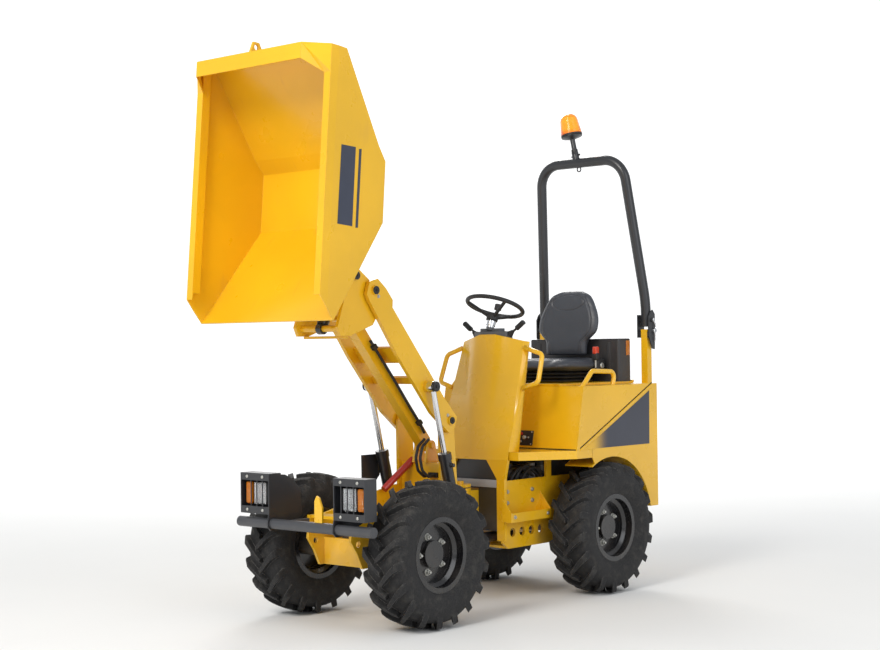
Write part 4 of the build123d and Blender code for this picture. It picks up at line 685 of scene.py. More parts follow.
# ---------------------------------------------------------------------------------------------
# Lamps: a square headlamp with a ribbed clear lens over a bright reflector, and a narrow amber
# indicator beside it, each in a black moulded case.
def bevelled_box(form, low, high, bevel=0.0, segments=2):
    """Adds a box with rounded edges."""
    corners = [
        form.verts.new((x, y, z))
        for z in (low[2], high[2]) for y in (low[1], high[1]) for x in (low[0], high[0])]
    faces = [form.faces.new([corners[i] for i in face]) for face in (
        (0, 2, 3, 1), (4, 5, 7, 6), (0, 1, 5, 4), (2, 6, 7, 3), (0, 4, 6, 2), (1, 3, 7, 5))]
    if bevel:
        edges = {edge for face in faces for edge in face.edges}
        bmesh.ops.bevel(form, geom=list(edges), offset=bevel, segments=segments, affect="EDGES", profile=0.5)
    return form


def both_sides(form, low, high, bevel=0.0, segments=2):
    """Adds a box with rounded edges, and its mirror image across the middle plane."""
    for side in (1, -1):
        near, far = sorted((side * low[0], side * high[0]))
        bevelled_box(form, (near, *low[1:]), (far, *high[1:]), bevel, segments)


def lamp_part(form, low, high, width, inset, start, end, bevel, segments=2):
    """Adds a box on each side, in from a lamp's sides and from its top, between two depths."""
    near = (high.x - width + inset[0], low.y + start, low.z + inset[1])
    both_sides(form, near, (high.x - inset[0], low.y + end, high.z - inset[1]), bevel, segments)


moulded = mottled(
    "black_moulding", ((0.018, 0.018, 0.019), (0.030, 0.030, 0.031)), (20.0, 3.0), 0.45, 0.15,
    (700.0, 2.0), (0.0003, 0.35), 0.002, Specular_IOR_Level=0.4)
reflector = mottled(
    "lamp_reflector", ((0.80, 0.82, 0.84), (0.95, 0.95, 0.95)), (90.0, 2.0), 0.12, 0.1, Metallic=1.0)

FLUTE_PACE = 900.0
lens_glass = Finish("lamp_lens", Roughness=0.05, IOR=1.45, Transmission_Weight=0.85)
flute = lens_glass.flutes(0, FLUTE_PACE)
lens_tint = lens_glass.mix(flute * 0.5 + 0.5, (0.90, 0.93, 0.95, 1), (0.98, 0.98, 0.98, 1))
lens_glass.show(Base_Color=lens_tint, Normal=lens_glass.bump(flute, 0.0012, 0.5))


def amber(name, depth):
    """Clear amber moulding, fluted across."""
    made = Finish(name, Roughness=0.12, IOR=1.49, Transmission_Weight=0.45, Coat_Weight=0.4)
    rib = made.flutes(2, 2 * math.pi / depth)
    cloud = made.noise(30.0, 2.0)
    tint = made.mix((rib * 0.5 + 0.5) * 0.6 + cloud * 0.3, (0.86, 0.16, 0.004, 1), (1.0, 0.42, 0.02, 1))
    return made.show(Base_Color=tint, Normal=made.bump(rib, 0.0015, 0.6))


LAMP_WIDTH, BLINKER_WIDTH = 0.084, 0.044
amber_lens = amber("amber_lens", 0.006)
case_form, reflector_form, lens_form, blinker_form = (bmesh.new() for _ in range(4))
headlamp, blinker = (lamp_low, lamp_high, LAMP_WIDTH), (blinker_low, blinker_high, BLINKER_WIDTH)
lamp_part(case_form, *headlamp, (0.0, 0.0), 0.010, lamp_high.y - lamp_low.y, 0.006)
lamp_part(reflector_form, *headlamp, (0.006, 0.006), 0.006, 0.0105, 0.001)
lamp_part(lens_form, *headlamp, (0.002, 0.002), 0.0, 0.0055, 0.0022)
lamp_part(case_form, *blinker, (0.0, 0.0), 0.030, blinker_high.y - blinker_low.y, 0.004)
lamp_part(blinker_form, *blinker, (0.002, 0.003), 0.0, 0.031, 0.010, 4)
piece_from(case_form, "lamp_cases", moulded.material, "front_frame")
piece_from(reflector_form, "lamp_reflectors", reflector.material, "front_frame")
lamp_lenses = piece_from(lens_form, "lamp_lenses", lens_glass.material, "front_frame")
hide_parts("headlamps")
blinkers = piece_from(blinker_form, "indicator_lenses", amber_lens, "front_frame")
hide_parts("indicators")


# ---------------------------------------------------------------------------------------------
# Lifting gear: two plate arms, the box link between them that keeps the carrier upright, and the
# carrier itself, all cut from plate and turning on black pins held by keeper bolts.
PIN_CAP_RADIUS = 0.021
dress(yellow_paint, "lift_arms", "level_link", "carrier")
pin_black = painted("pin_black", (0.016, 0.016, 0.018), 0.42, 0.2, coat=0.1, chip=0.5)


def pin_caps(name, body, places, radius=PIN_CAP_RADIUS, depth=0.006):
    """The black heads of a body's pins on both sides, from the outer faces they sit on."""
    form = bmesh.new()
    for x, y, z in places:
        for side in (1, -1):
            start = (side * (x - 0.001), y, z)
            prism(form, 28, radius, start, (side * (x + depth), y, z), 0.0018)
            socket = (side * (x + depth - 0.001), y, z)
            prism(form, 6, radius * 0.36, socket, (side * (x + depth + 0.006), y, z), 0.001)
    return piece_from(form, name, pin_black, body, 30)


arm_foot, arm_head = pivot("lift"), pivot("carrier_pivot")
skip_pin = pivot("tilt")
rod_high, tower_high, carrier_high = (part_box(node)[1] for node in ("lift_rods", "lift_tower", "carrier"))
arm_run = (arm_head - arm_foot).normalized()
arm_up = Vector((0, -arm_run.z, arm_run.y)) * (1 if arm_run.y > 0 else -1)
ram_eye = arm_foot + 0.238 * arm_run - 0.022 * arm_up
pin_caps("tower_pin_caps", "front_frame", [(tower_high.x, arm_foot.y, arm_foot.z)], 0.0165)
carrier_pins = [(carrier_high.x, arm_head.y, arm_head.z), (0.155, skip_pin.y, skip_pin.z)]
pin_caps("carrier_pin_caps", "carrier", carrier_pins, 0.019)
pin_caps("ram_pin_caps", "lift_rods", [(rod_high.x, ram_eye.y, ram_eye.z)], 0.024)

ARM_FACE_X = 0.1698
keepers = (arm_head - arm_run * 0.036, arm_foot + arm_run * 0.034)
rows = [((ARM_FACE_X, place.y, place.z), (1, 0, 0), 0.0065) for place in keepers]
fixings("keeper_bolts", "lift_arms", hexagon, rows)


# ---------------------------------------------------------------------------------------------
# Rams: black-painted steel barrels with a screwed gland at the mouth and a hose union near it, and
# rods ground and plated with hard chrome.
barrel_paint = painted("barrel_paint", (0.014, 0.014, 0.016), 0.30, 0.25, coat=0.35, chip=0.35)
chrome = mottled(
    "hard_chrome", ((0.60, 0.61, 0.63), (0.80, 0.80, 0.81)), (35.0, 4.0, (1, 1, 0.2)), 0.10, 0.12,
    (900.0, 2.0, (1, 1, 0.05)), (0.0001, 0.2), 0.001, Metallic=1.0)
dress(barrel_paint, "lift_barrels", "tilt_barrel", "steer_barrel")
dress(chrome.material, "lift_rods", "tilt_rod", "steer_rod")

rubber_hose = mottled(
    "hose_rubber", ((0.016, 0.016, 0.017), (0.040, 0.039, 0.038)), (55.0, 3.0), 0.5, 0.2,
    (480.0, 2.0, (1, 1, 0.3)), (0.0004, 0.4), Specular_IOR_Level=0.35)


def ram_dressing(name, body, foot, eye, offsets, radius, mouth):
    """A gland nut at a barrel's mouth, a collar behind it and a hose union on its flank."""
    form = bmesh.new()
    run = (eye - foot).normalized()
    across = Vector((1, 0, 0)) - run * run.x
    for x in offsets:
        start = Vector((x, foot.y, foot.z))
        # share of the radius, start and end along the barrel, chamfer
        for share, near, far, chamfer in (
            (1.14, mouth - 0.030, mouth + 0.004, 0.002), (1.07, 0.034, 0.046, 0.001)):
            prism(form, 32, radius * share, start + run * near, start + run * far, chamfer)
        side = across if x >= 0 else Vector((-across.x, across.y, across.z))
        port = start + run * (mouth - 0.055)
        # sides, radius, start and end from the barrel's face
        for sides, girth, near, far in ((12, 0.011, -0.006, 0.010), (6, 0.010, 0.009, 0.020)):
            prism(form, sides, girth, port + side * (radius + near), port + side * (radius + far), 0.001)
    return piece_from(form, name, barrel_paint, body, 30)


LIFT_RAM_X, LIFT_BARREL, TILT_BARREL, STEER_GLAND = 0.205, 0.029, 0.027, 0.0285
lift_foot = pivot("lift_ram_foot")
ram_dressing(
    "lift_ram_glands", "lift_barrels", lift_foot, ram_eye, (LIFT_RAM_X, -LIFT_RAM_X), LIFT_BARREL, 0.290)
tilt_foot = pivot("tilt_ram_foot")
tilt_run = Vector(joints["tilt_ram_stroke"]["axis"])
ram_dressing("tilt_ram_gland", "tilt_barrel", tilt_foot, tilt_foot + tilt_run, (0.0,), TILT_BARREL, 0.215)
steer_foot = pivot("steer_ram_foot")
steer_run = Vector(joints["steer_ram_stroke"]["axis"])
form = bmesh.new()
prism(form, 32, STEER_GLAND, steer_foot + steer_run * 0.232, steer_foot + steer_run * 0.264, 0.002)
piece_from(form, "steer_ram_gland", barrel_paint, "steer_barrel", 30)


# ---------------------------------------------------------------------------------------------
# Skip: a welded steel tub with a rolled rim, scratched where loads slide out, on two ribs that take
# the tipping pin. A plain blue panel with a thin line beside it is stuck on each flank.
skip_paint = Finish("skip_paint", Coat_Weight=0.35, Coat_Roughness=0.14)
skip_tone = skip_paint.noise(2.2, 4.0)
skip_cloud = skip_paint.noise(7.0, 6.0)
skip_speck = skip_paint.noise(140.0, 3.0)
skip_streak = skip_paint.noise(30.0, 4.0, (1, 0.25, 0.08))
skip_edge = skip_paint.edges(0.005)
skip_base = skip_paint.mix(skip_tone.ramp(0.3, 0.7), shade(YELLOW, 0.93), shade(YELLOW, 1.04))
skip_wear = skip_streak.ramp(0.60, 0.74) * skip_cloud.ramp(0.45, 0.7) * 0.35
skip_base = skip_paint.mix(skip_wear, skip_base, (0.62, 0.31, 0.035, 1))
skip_base = skip_paint.mix(skip_edge * skip_speck.ramp(0.45, 0.65) * 0.5, skip_base, (0.95, 0.55, 0.06, 1))
skip_dent = skip_paint.bump(skip_paint.noise(5.0, 2.0), 0.004, 0.35, skip_paint.soft_edges(0.003))
skip_grain = skip_paint.bump(skip_paint.noise(420.0, 1.0), 0.0004, 0.25, skip_dent)
skip_paint.show(Base_Color=skip_base, Roughness=0.24 + skip_cloud * 0.10 + skip_wear * 0.4, Normal=skip_grain)
dress(skip_paint.material, "skip", "skip_brackets")

vinyl_blue = mottled(
    "blue_vinyl", ((0.022, 0.028, 0.052), (0.036, 0.044, 0.074)), (14.0, 4.0), 0.34, 0.12,
    rounding=0.0005, Coat_Weight=0.25, Coat_Roughness=0.2)


def laid_on(node, places, direction, lift):
    """Points moved along a direction until they meet a CAD node, then lifted off it."""
    direction = Vector(direction).normalized()
    landed = []
    for place in places:
        hit, spot, _, _ = frame["nodes"][node].ray_cast(Vector(place) - direction * 0.5, direction)
        if not hit:
            raise ValueError("nothing of " + node + " lies below " + str(tuple(place)))
        landed.append(spot - direction * lift)
    return landed


def sticker(form, node, outline, direction, lift=0.0009):
    """Adds a thin sheet, cut to an outline, laid on a CAD node."""
    direction = Vector(direction).normalized()
    upper = [form.verts.new(spot) for spot in laid_on(node, outline, direction, lift)]
    lower = [form.verts.new(vertex.co + direction * lift * 0.6) for vertex in upper]
    top = form.faces.new(upper)
    top.normal_update()
    if top.normal.dot(direction) > 0:
        top.normal_flip()
        upper.reverse()
        lower.reverse()
    form.faces.new(list(reversed(lower)))
    skin(form, (lower, upper))


def mirrored(outline, side):
    """An outline on one side of the middle plane or the other."""
    return [(side * x, y, z) for x, y, z in outline]


SKIP_PANEL = ((0.44, -1.134, 2.139), (0.44, -1.037, 2.136), (0.44, -1.065, 1.793), (0.44, -1.165, 1.799))
SKIP_LINE = ((0.44, -1.014, 2.13), (0.44, -0.997, 2.132), (0.44, -1.026, 1.789), (0.44, -1.043, 1.788))
form = bmesh.new()
for side in (1, -1):
    for outline in (SKIP_PANEL, SKIP_LINE):
        sticker(form, "skip", mirrored(outline, side), (-side, 0, 0))
piece_from(form, "skip_stickers", vinyl_blue.material, "skip", 30)

# The bead's colour follows the ripple of its relief and is darker in the troughs: painted shade.
weld_paint = mottled(
    "weld_bead", (shade(YELLOW, 0.86), shade(YELLOW, 1.0)), (260.0, 2.0), 0.3, 0.15,
    (260.0, 2.0), (0.0016, 0.8), Coat_Weight=0.3, Coat_Roughness=0.15)


def weld(form, points, radius=0.0035):
    """Adds a run of weld bead through the points."""
    for start, end in zip(points, points[1:]):
        prism(form, 8, radius, start, end)


WELD_INNER_X, WELD_OUTER_X = 0.0915, 0.1125
WELD_START_Z, WELD_STEP = 1.62, 0.01
form = bmesh.new()
for side in (1, -1):
    for x in (WELD_INNER_X, WELD_OUTER_X):
        line = [(side * x, -0.55, WELD_START_Z + WELD_STEP * step) for step in range(23)]
        weld(form, laid_on("skip", line, (0, -1, 0), 0.0005))
piece_from(form, "skip_welds", weld_paint.material, "skip", 60)


# ---------------------------------------------------------------------------------------------
# Rear frame: side plates with a pillar at the front and a folded step outside each, tied by cross
# plates and the knuckle of the steering joint. The black oil tank fills the space between them, with
# a grey band across its front, and each step has two rows of grip slots drawn as black patches: painted
# shade.
dress(yellow_paint, "rear_side_plates", "side_steps", "rear_cross_plates", "steer_knuckle")
dress(black_paint, "front_tank")
tank_low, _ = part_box("front_tank")
step_low, step_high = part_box("side_steps")
STEP_SLOTS, SLOT_PITCH, SLOT_ROW_PITCH = 7, 0.039, 0.026
SLOT_HALF_WIDTH, SLOT_HALF_LENGTH = 0.006, 0.010
FIRST_SLOT_X, FIRST_SLOT_Y, SLOT_FOOT_Z, SLOT_TOP_Z = 0.223, 0.045, 0.4035, 0.4056
BAND_HALF_WIDTH, BAND_FOOT_Z, BAND_TOP_Z = 0.163, 0.566, 0.604
band_grey = painted("band_grey", (0.33, 0.34, 0.36), 0.38, 0.5, coat=0.1, chip=0.3)
form = bmesh.new()
low = (-BAND_HALF_WIDTH, tank_low.y - 0.0025, BAND_FOOT_Z)
bevelled_box(form, low, (BAND_HALF_WIDTH, tank_low.y + 0.012, BAND_TOP_Z), 0.002)
piece_from(form, "tank_band", band_grey, "rear_frame")

# Black patches on the steps stand in for the grip slots' holes: painted shade.
form = bmesh.new()
for row in range(2):
    for place in range(STEP_SLOTS):
        x, y = FIRST_SLOT_X + SLOT_ROW_PITCH * row, step_low.y + FIRST_SLOT_Y + SLOT_PITCH * place
        low = (x - SLOT_HALF_WIDTH, y - SLOT_HALF_LENGTH, SLOT_FOOT_Z)
        both_sides(form, low, (x + SLOT_HALF_WIDTH, y + SLOT_HALF_LENGTH, SLOT_TOP_Z), 0.0018)
piece_from(form, "step_slots", black_paint, "rear_frame")

# place across, along and up, half width
FRAME_BOLTS = (
    (0.2055, 0.23, 0.545, 0.0085), (0.2055, 0.23, 0.49, 0.0085), (0.2055, 0.43, 0.545, 0.0085),
    (0.2055, 0.43, 0.49, 0.0085), (0.2725, step_low.y + 0.03, 0.425, 0.0075),
    (0.2725, step_high.y - 0.03, 0.425, 0.0075))
rows = [((x, y, z), (1, 0, 0), half) for x, y, z, half in FRAME_BOLTS]
fixings("frame_bolts", "rear_frame", hexagon, rows)


# ---------------------------------------------------------------------------------------------
# Engine and pump: dark castings in the gap above the side plates, with a canister filter, pipe
# unions and black hoses round them. The rest is closed in by the body and the lid.
engine_iron = painted("engine_iron", (0.030, 0.031, 0.034), 0.5, 0.5, coat=0.1, chip=0.5)
dress(engine_iron, "engine")
filter_grey = painted("filter_grey", (0.20, 0.21, 0.22), 0.35, 0.3, coat=0.2, chip=0.3)
dress(rubber_hose.material, "held_hose", "tower_hoses")


def hose(form, points, radius, sides=10, steps=10):
    """Adds a hose along a smooth line through the points."""
    points = [Vector(point) for point in points]
    padded_line = [2 * points[0] - points[1], *points, 2 * points[-1] - points[-2]]
    line = []
    for a, b, c, d in zip(padded_line, padded_line[1:], padded_line[2:], padded_line[3:]):
        for step in range(steps):
            t = step / steps
            square, cube = (2 * a - 5 * b + 4 * c - d) * t ** 2, (3 * b - a - 3 * c + d) * t ** 3
            line.append((2 * b + (c - a) * t + square + cube) / 2)
    line.append(points[-1])
    rings = []
    side = (line[1] - line[0]).orthogonal().normalized()
    for index, place in enumerate(line):
        run = (line[min(index + 1, len(line) - 1)] - line[max(index - 1, 0)]).normalized()
        side = (side - run * side.dot(run)).normalized()
        other = run.cross(side)
        rings.append([
            form.verts.new(place + radius * (side * math.cos(angle) + other * math.sin(angle)))
            for angle in round_angles(sides)])
    skin(form, rings)
    form.faces.new(list(reversed(rings[0])))
    form.faces.new(rings[-1])


ENGINE_HOSE_RADIUS = 0.0085
filter_form, iron_form, hose_form = bmesh.new(), bmesh.new(), bmesh.new()
# form, sides, radius, place across and along, lowest and highest point, chamfer
ENGINE_CANS = (
    (filter_form, 32, 0.034, 0.130, 0.610, 0.520, 0.664, 0.006),
    (filter_form, 32, 0.024, 0.140, 0.500, 0.585, 0.672, 0.004),
    (iron_form, 32, 0.037, 0.130, 0.610, 0.655, 0.682, 0.004),
    (iron_form, 24, 0.018, 0.120, 0.345, 0.645, 0.676, 0.003))
# place across, half width, start and end along, lowest and highest point, bevel
PUMP_BLOCKS = (
    (0.125, 0.035, 0.300, 0.390, 0.560, 0.650, 0.008),
    (0.120, 0.030, 0.405, 0.470, 0.540, 0.625, 0.006))
# where each hose starts along the engine, and how high it arches
ENGINE_HOSES = ((0.290, 0.020), (0.330, 0.034), (0.380, 0.012))
for x, half, start, end, foot, top, bevel in PUMP_BLOCKS:
    both_sides(iron_form, (x - half, start, foot), (x + half, end, top), bevel)
for side in (1, -1):
    for form, sides, radius, x, y, foot, top, chamfer in ENGINE_CANS:
        prism(form, sides, radius, (side * x, y, foot), (side * x, y, top), chamfer)
    for start, arch in ENGINE_HOSES:
        route = (
            (0.165, 0.0, 0.575), (0.178, 0.03, 0.62 + arch / 2), (0.172, 0.09, 0.645 + arch / 2),
            (0.168, 0.16, 0.63), (0.150, 0.23, 0.592))
        hose(hose_form, [(side * x, start + y, z) for x, y, z in route], ENGINE_HOSE_RADIUS)
piece_from(filter_form, "engine_filters", filter_grey, "rear_frame", 30)
piece_from(iron_form, "engine_castings", engine_iron, "rear_frame")
piece_from(hose_form, "engine_hoses", rubber_hose.material, "rear_frame", 60)


# ---------------------------------------------------------------------------------------------
# Body: folded sheet steel panels under the same yellow paint. A folded seam climbs each flank to the
# rear corner, with a dark strip above its ridge as painted shadow and another along the front sill;
# below it a plain dark blue vinyl panel fades out towards the front.
dress(yellow_paint, "floor_plate", "body_sides", "body_front", "body_rear", "engine_cover")
dress(yellow_paint, "hip_handles", "rops_posts")
dress(black_paint, "rear_grille", "hinge_brackets", "rops_hoop")
body_low, body_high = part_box("body_sides")
# A dark strip above each flank seam's ridge and one along the front sill: painted shadow.
seam_shadow_paint = Finish("seam_shadow", Roughness=0.7)
seam_tone = seam_shadow_paint.mix(seam_shadow_paint.noise(60.0), (0.012, 0.008, 0.002, 1), (0.03, 0.02, 0.006, 1))
seam_shadow_paint.show(Base_Color=seam_tone)


def strip(form, line, across, out, half_width, rise):
    """Adds a strip of trim along a line on a flat panel: a low ridge with sloping sides."""
    across, out = Vector(across), Vector(out)
    profile = ((-1.0, -0.0004), (-0.7, rise), (0.7, rise), (1.0, -0.0004))
    rows = [
        [form.verts.new(Vector(point) + across * half_width * share + out * lift) for share, lift in profile]
        for point in line]
    skin(form, rows)
    form.faces.new(rows[0])
    form.faces.new(list(reversed(rows[-1])))


def recalculated(form):
    """The form with its faces turned outwards."""
    bmesh.ops.recalc_face_normals(form, faces=form.faces[:])
    return form


SILL_Z, SILL_HALF_WIDTH = 0.7475, 0.452
FLANK_SEAM = ((0.502, 0.7465), (1.146, 1.0610))
FLANK_PANEL = ((1.116, 1.028), (1.112, SILL_Z), (0.537, SILL_Z))
fading = Finish("fading_vinyl", Coat_Weight=0.3, Coat_Roughness=0.15)
along = fading.axes()[1]
fade_dots = fading.noise(900.0, 1.0)
fade = (along.ramp(0.50, 0.80) * 1.25 - 0.25 + (fade_dots - 0.5) * 0.35).ramp(0.0, 0.9)
fade_cloud = fading.noise(14.0, 4.0)
navy = fading.mix(fade_cloud, (0.017, 0.020, 0.036, 1), (0.028, 0.032, 0.054, 1))
fading.show(Base_Color=fading.mix(fade, shade(YELLOW, 0.97), navy), Roughness=0.30 + fade_cloud * 0.1)
ridge, shadow, blue = bmesh.new(), bmesh.new(), bmesh.new()
for side in (1, -1):
    x = side * body_high.x
    climb = Vector((0, FLANK_SEAM[1][0] - FLANK_SEAM[0][0], FLANK_SEAM[1][1] - FLANK_SEAM[0][1])).normalized()
    above = Vector((0, -climb.z, climb.y))
    line = [Vector((x, y, z)) for y, z in FLANK_SEAM]
    strip(ridge, line, above, (side, 0, 0), 0.0050, 0.0035)
    strip(shadow, [point + above * 0.0085 for point in line], above, (side, 0, 0), 0.0036, 0.0006)
    sticker(blue, "body_sides", [(x, y, z) for y, z in FLANK_PANEL], (-side, 0, 0), 0.0010)
sill = [(x, body_low.y - 0.0004, SILL_Z) for x in (-SILL_HALF_WIDTH, SILL_HALF_WIDTH)]
strip(shadow, sill, (0, 0, 1), (0, -1, 0), 0.0030, 0.0006)
piece_from(recalculated(ridge), "flank_ridges", yellow_paint, "rear_frame")
piece_from(recalculated(shadow), "panel_gaps", seam_shadow_paint.material, "rear_frame")
piece_from(blue, "flank_stickers", fading.material, "rear_frame", 30)


# ---------------------------------------------------------------------------------------------
# Switch panel: a black plate screwed to the wall behind the shield, with the key switch and a
# stop button. The wall leans a little, so the plate is laid on it.
PANEL_CENTRE = (0.127, 0.7985)
PANEL_HALF = (0.047, 0.0385)


def wall_spot(x, z):
    """A place on the body's front wall and the way that the wall faces there."""
    hit, spot, normal, _ = frame["nodes"]["body_front"].ray_cast(Vector((x, 0.2, z)), Vector((0, 1, 0)))
    if not hit:
        raise ValueError("no wall there")
    return spot, normal


def wall_plate(form, centre, half, depth, bevel):
    """Adds a plate that lies on the wall."""
    spot, normal = wall_spot(*centre)
    across = Vector((0, 0, 1)).cross(normal).normalized()
    part = bevelled_box(bmesh.new(), (-half[0], -half[1], -0.001), (half[0], half[1], depth), bevel)
    turn = Matrix((across, normal.cross(across), normal)).transposed().to_4x4()
    part.transform(Matrix.Translation(spot) @ turn)
    carried = bpy.data.meshes.new("plate")
    part.to_mesh(carried)
    form.from_mesh(carried)
    bpy.data.meshes.remove(carried)


red_cap = painted("red_cap", (0.55, 0.022, 0.015), 0.3, 0.05)
dress(painted("red_paint", (0.40, 0.018, 0.016), 0.35, 0.15), "safety_prop")
plate_form, key_form, knob_form = bmesh.new(), bmesh.new(), bmesh.new()
wall_plate(plate_form, PANEL_CENTRE, PANEL_HALF, 0.003, 0.0012)
KEY_PLACE = (0.122, 0.8010)
# place on the wall, radius, how far it stands out, form
SWITCHES = (
    (KEY_PLACE, 0.0105, 0.012, key_form), ((0.100, 0.8200), 0.0075, 0.010, knob_form),
    ((0.100, 0.7800), 0.0060, 0.008, key_form), ((0.146, 0.8010), 0.0050, 0.007, key_form))
for place, radius, length, form in SWITCHES:
    spot, normal = wall_spot(*place)
    prism(form, 24, radius, spot, spot + normal * length, 0.001)
    prism(form, 24, radius * 0.6, spot + normal * length, spot + normal * (length + 0.002), 0.0006)
spot, normal = wall_spot(*KEY_PLACE)
prism(key_form, 12, 0.0016, spot + normal * 0.012, spot + normal * 0.024, 0.0004)
piece_from(plate_form, "switch_plate", moulded.material, "rear_frame")
piece_from(key_form, "key_switch", zinc.material, "rear_frame", 30)
piece_from(knob_form, "stop_button", red_cap, "rear_frame", 30)
PANEL_SCREWS = ((0.164, 0.829), (0.164, 0.768), (0.090, 0.829), (0.090, 0.768))
rows = []
for place in PANEL_SCREWS:
    spot, normal = wall_spot(*place)
    rows.append((tuple(spot + normal * 0.003), tuple(normal), 0.0042))
fixings("switch_screws", "rear_frame", dome, rows, (1,))


# ---------------------------------------------------------------------------------------------
# Shield, pod and hand levers: a folded yellow shield with a bent grab tube on each side, a grey
# moulded instrument pod behind its top edge, and a black grip on each lever.
sheet = bmesh.new()
sheet.from_mesh(frame["nodes"]["shield"].data)
bmesh.ops.remove_doubles(sheet, verts=sheet.verts, dist=1e-5)
shield_sheet = piece_from(sheet, "shield_sheet", yellow_paint, "rear_frame", 30)
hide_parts("shield")
pod_grey = mottled(
    "pod_grey", ((0.085, 0.092, 0.102), (0.125, 0.133, 0.145)), (18.0, 3.0), 0.42, 0.12,
    (620.0, 2.0), (0.0003, 0.3), 0.005, Specular_IOR_Level=0.45)
dress(pod_grey.material, "dash")
dress(moulded.material, "controls", "steering_wheel")
wheel_axis = Vector(joints["steering_wheel_turn"]["axis"]).normalized()
if wheel_axis.z < 0:
    wheel_axis.negate()
wheel_centre = pivot("steering_wheel_turn")
sleeve = bmesh.new()
# radius, start and end below the wheel's centre, chamfer
for radius, start, end, chamfer in ((0.0235, 0.106, 0.080, 0.003), (0.0205, 0.118, 0.105, 0.001)):
    prism(sleeve, 36, radius, wheel_centre - wheel_axis * start, wheel_centre - wheel_axis * end, chamfer)
piece_from(sleeve, "column_sleeve", chrome.material, "rear_frame", 30)
pod_low, pod_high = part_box("dash")
GRIP_RINGS, GRIP_PITCH, GRIP_RADIUS = 5, 0.0105, 0.0133
GAITER_RADII, GAITER_PITCH = (0.017, 0.0145, 0.012, 0.010), 0.007
grip_form, gaiter = bmesh.new(), bmesh.new()
for side in (1, -1):
    foot = Vector((side * 0.152, 0.3849, 1.359))
    tip = Vector((side * 0.198, 0.3879, 1.3935))
    run = (tip - foot).normalized()
    for step in range(GRIP_RINGS):
        start = foot + run * (0.004 + GRIP_PITCH * step)
        prism(grip_form, 24, GRIP_RADIUS, start, start + run * 0.0082, 0.0012)
    root, out = Vector((side * 0.110, 0.3829, 1.330)), Vector((side * 0.8, 0, 0.6))
    for ring, girth in enumerate(GAITER_RADII):
        start = root + out * GAITER_PITCH * ring
        prism(gaiter, 24, girth, start, start + out * 0.0062, 0.0015)
piece_from(grip_form, "lever_grips", moulded.material, "rear_frame", 40)
piece_from(gaiter, "lever_gaiters", rubber_hose.material, "rear_frame", 40)
rows = [((pod_high.x - 0.014, y, 1.346), (0, 0, 1), 0.0042) for y in (pod_low.y + 0.030, pod_high.y - 0.010)]
fixings("pod_screws", "rear_frame", dome, rows)


# ---------------------------------------------------------------------------------------------
# Seat: a moulded foam cushion and backrest skinned in grained black vinyl, on a suspension in a
# rubber bellows, with a buckle on a stalk at its left over the moulded cover of the folding hinge.
seat_vinyl = Finish("seat_vinyl", Coat_Weight=0.20, Coat_Roughness=0.3)
vinyl_grain = seat_vinyl.noise(520.0, 4.0)
vinyl_pore = seat_vinyl.noise(1500.0, 2.0)
vinyl_cloud = seat_vinyl.noise(9.0, 4.0)
vinyl_colour = seat_vinyl.mix(vinyl_cloud, (0.034, 0.038, 0.048, 1), (0.050, 0.056, 0.070, 1))
vinyl_colour = seat_vinyl.mix(vinyl_grain.ramp(0.55, 0.8) * 0.35, vinyl_colour, (0.018, 0.019, 0.022, 1))
vinyl_bump = seat_vinyl.bump(vinyl_pore, 0.0003, 0.35, seat_vinyl.bump(vinyl_grain, 0.0006, 0.55))
seat_vinyl.show(Base_Color=vinyl_colour, Roughness=0.40 + vinyl_cloud * 0.12, Normal=vinyl_bump)
PAD_VOXEL, PAD_FRAMES, PAD_PRESSURE = 0.006, 20, 4.0
PAD_STEPS, PAD_POINTS = 40, 64


def between(stops, share):
    """The value at a share along a row of (share, value) stops, on a smooth curve through them."""
    stops = [stops[0], *stops, stops[-1]]
    for before, (start, low), (end, high), after in zip(stops, stops[1:], stops[2:], stops[3:]):
        if share <= end and end > start:
            step, span = max(0.0, (share - start) / (end - start)), end - start
            climb_in = (high - before[1]) / (end - before[0]) * span
            climb_out = (after[1] - low) / (after[0] - start) * span
            square, cube = step * step, step ** 3
            return (
                low * (2 * cube - 3 * square + 1) + climb_in * (cube - 2 * square + step)
                + high * (3 * square - 2 * cube) + climb_out * (cube - square))
    return stops[-1][1]


def lofted(rings):
    """A closed form skinned over rings of points, with each end closed by a fan."""
    form = bmesh.new()
    rows = [[form.verts.new(point) for point in ring] for ring in rings]
    skin(form, rows)
    for row in (rows[0], rows[-1]):
        middle = form.verts.new(sum((vertex.co for vertex in row), Vector()) / len(row))
        for index in range(len(row)):
            form.faces.new((row[index], row[(index + 1) % len(row)], middle))
    return recalculated(form)


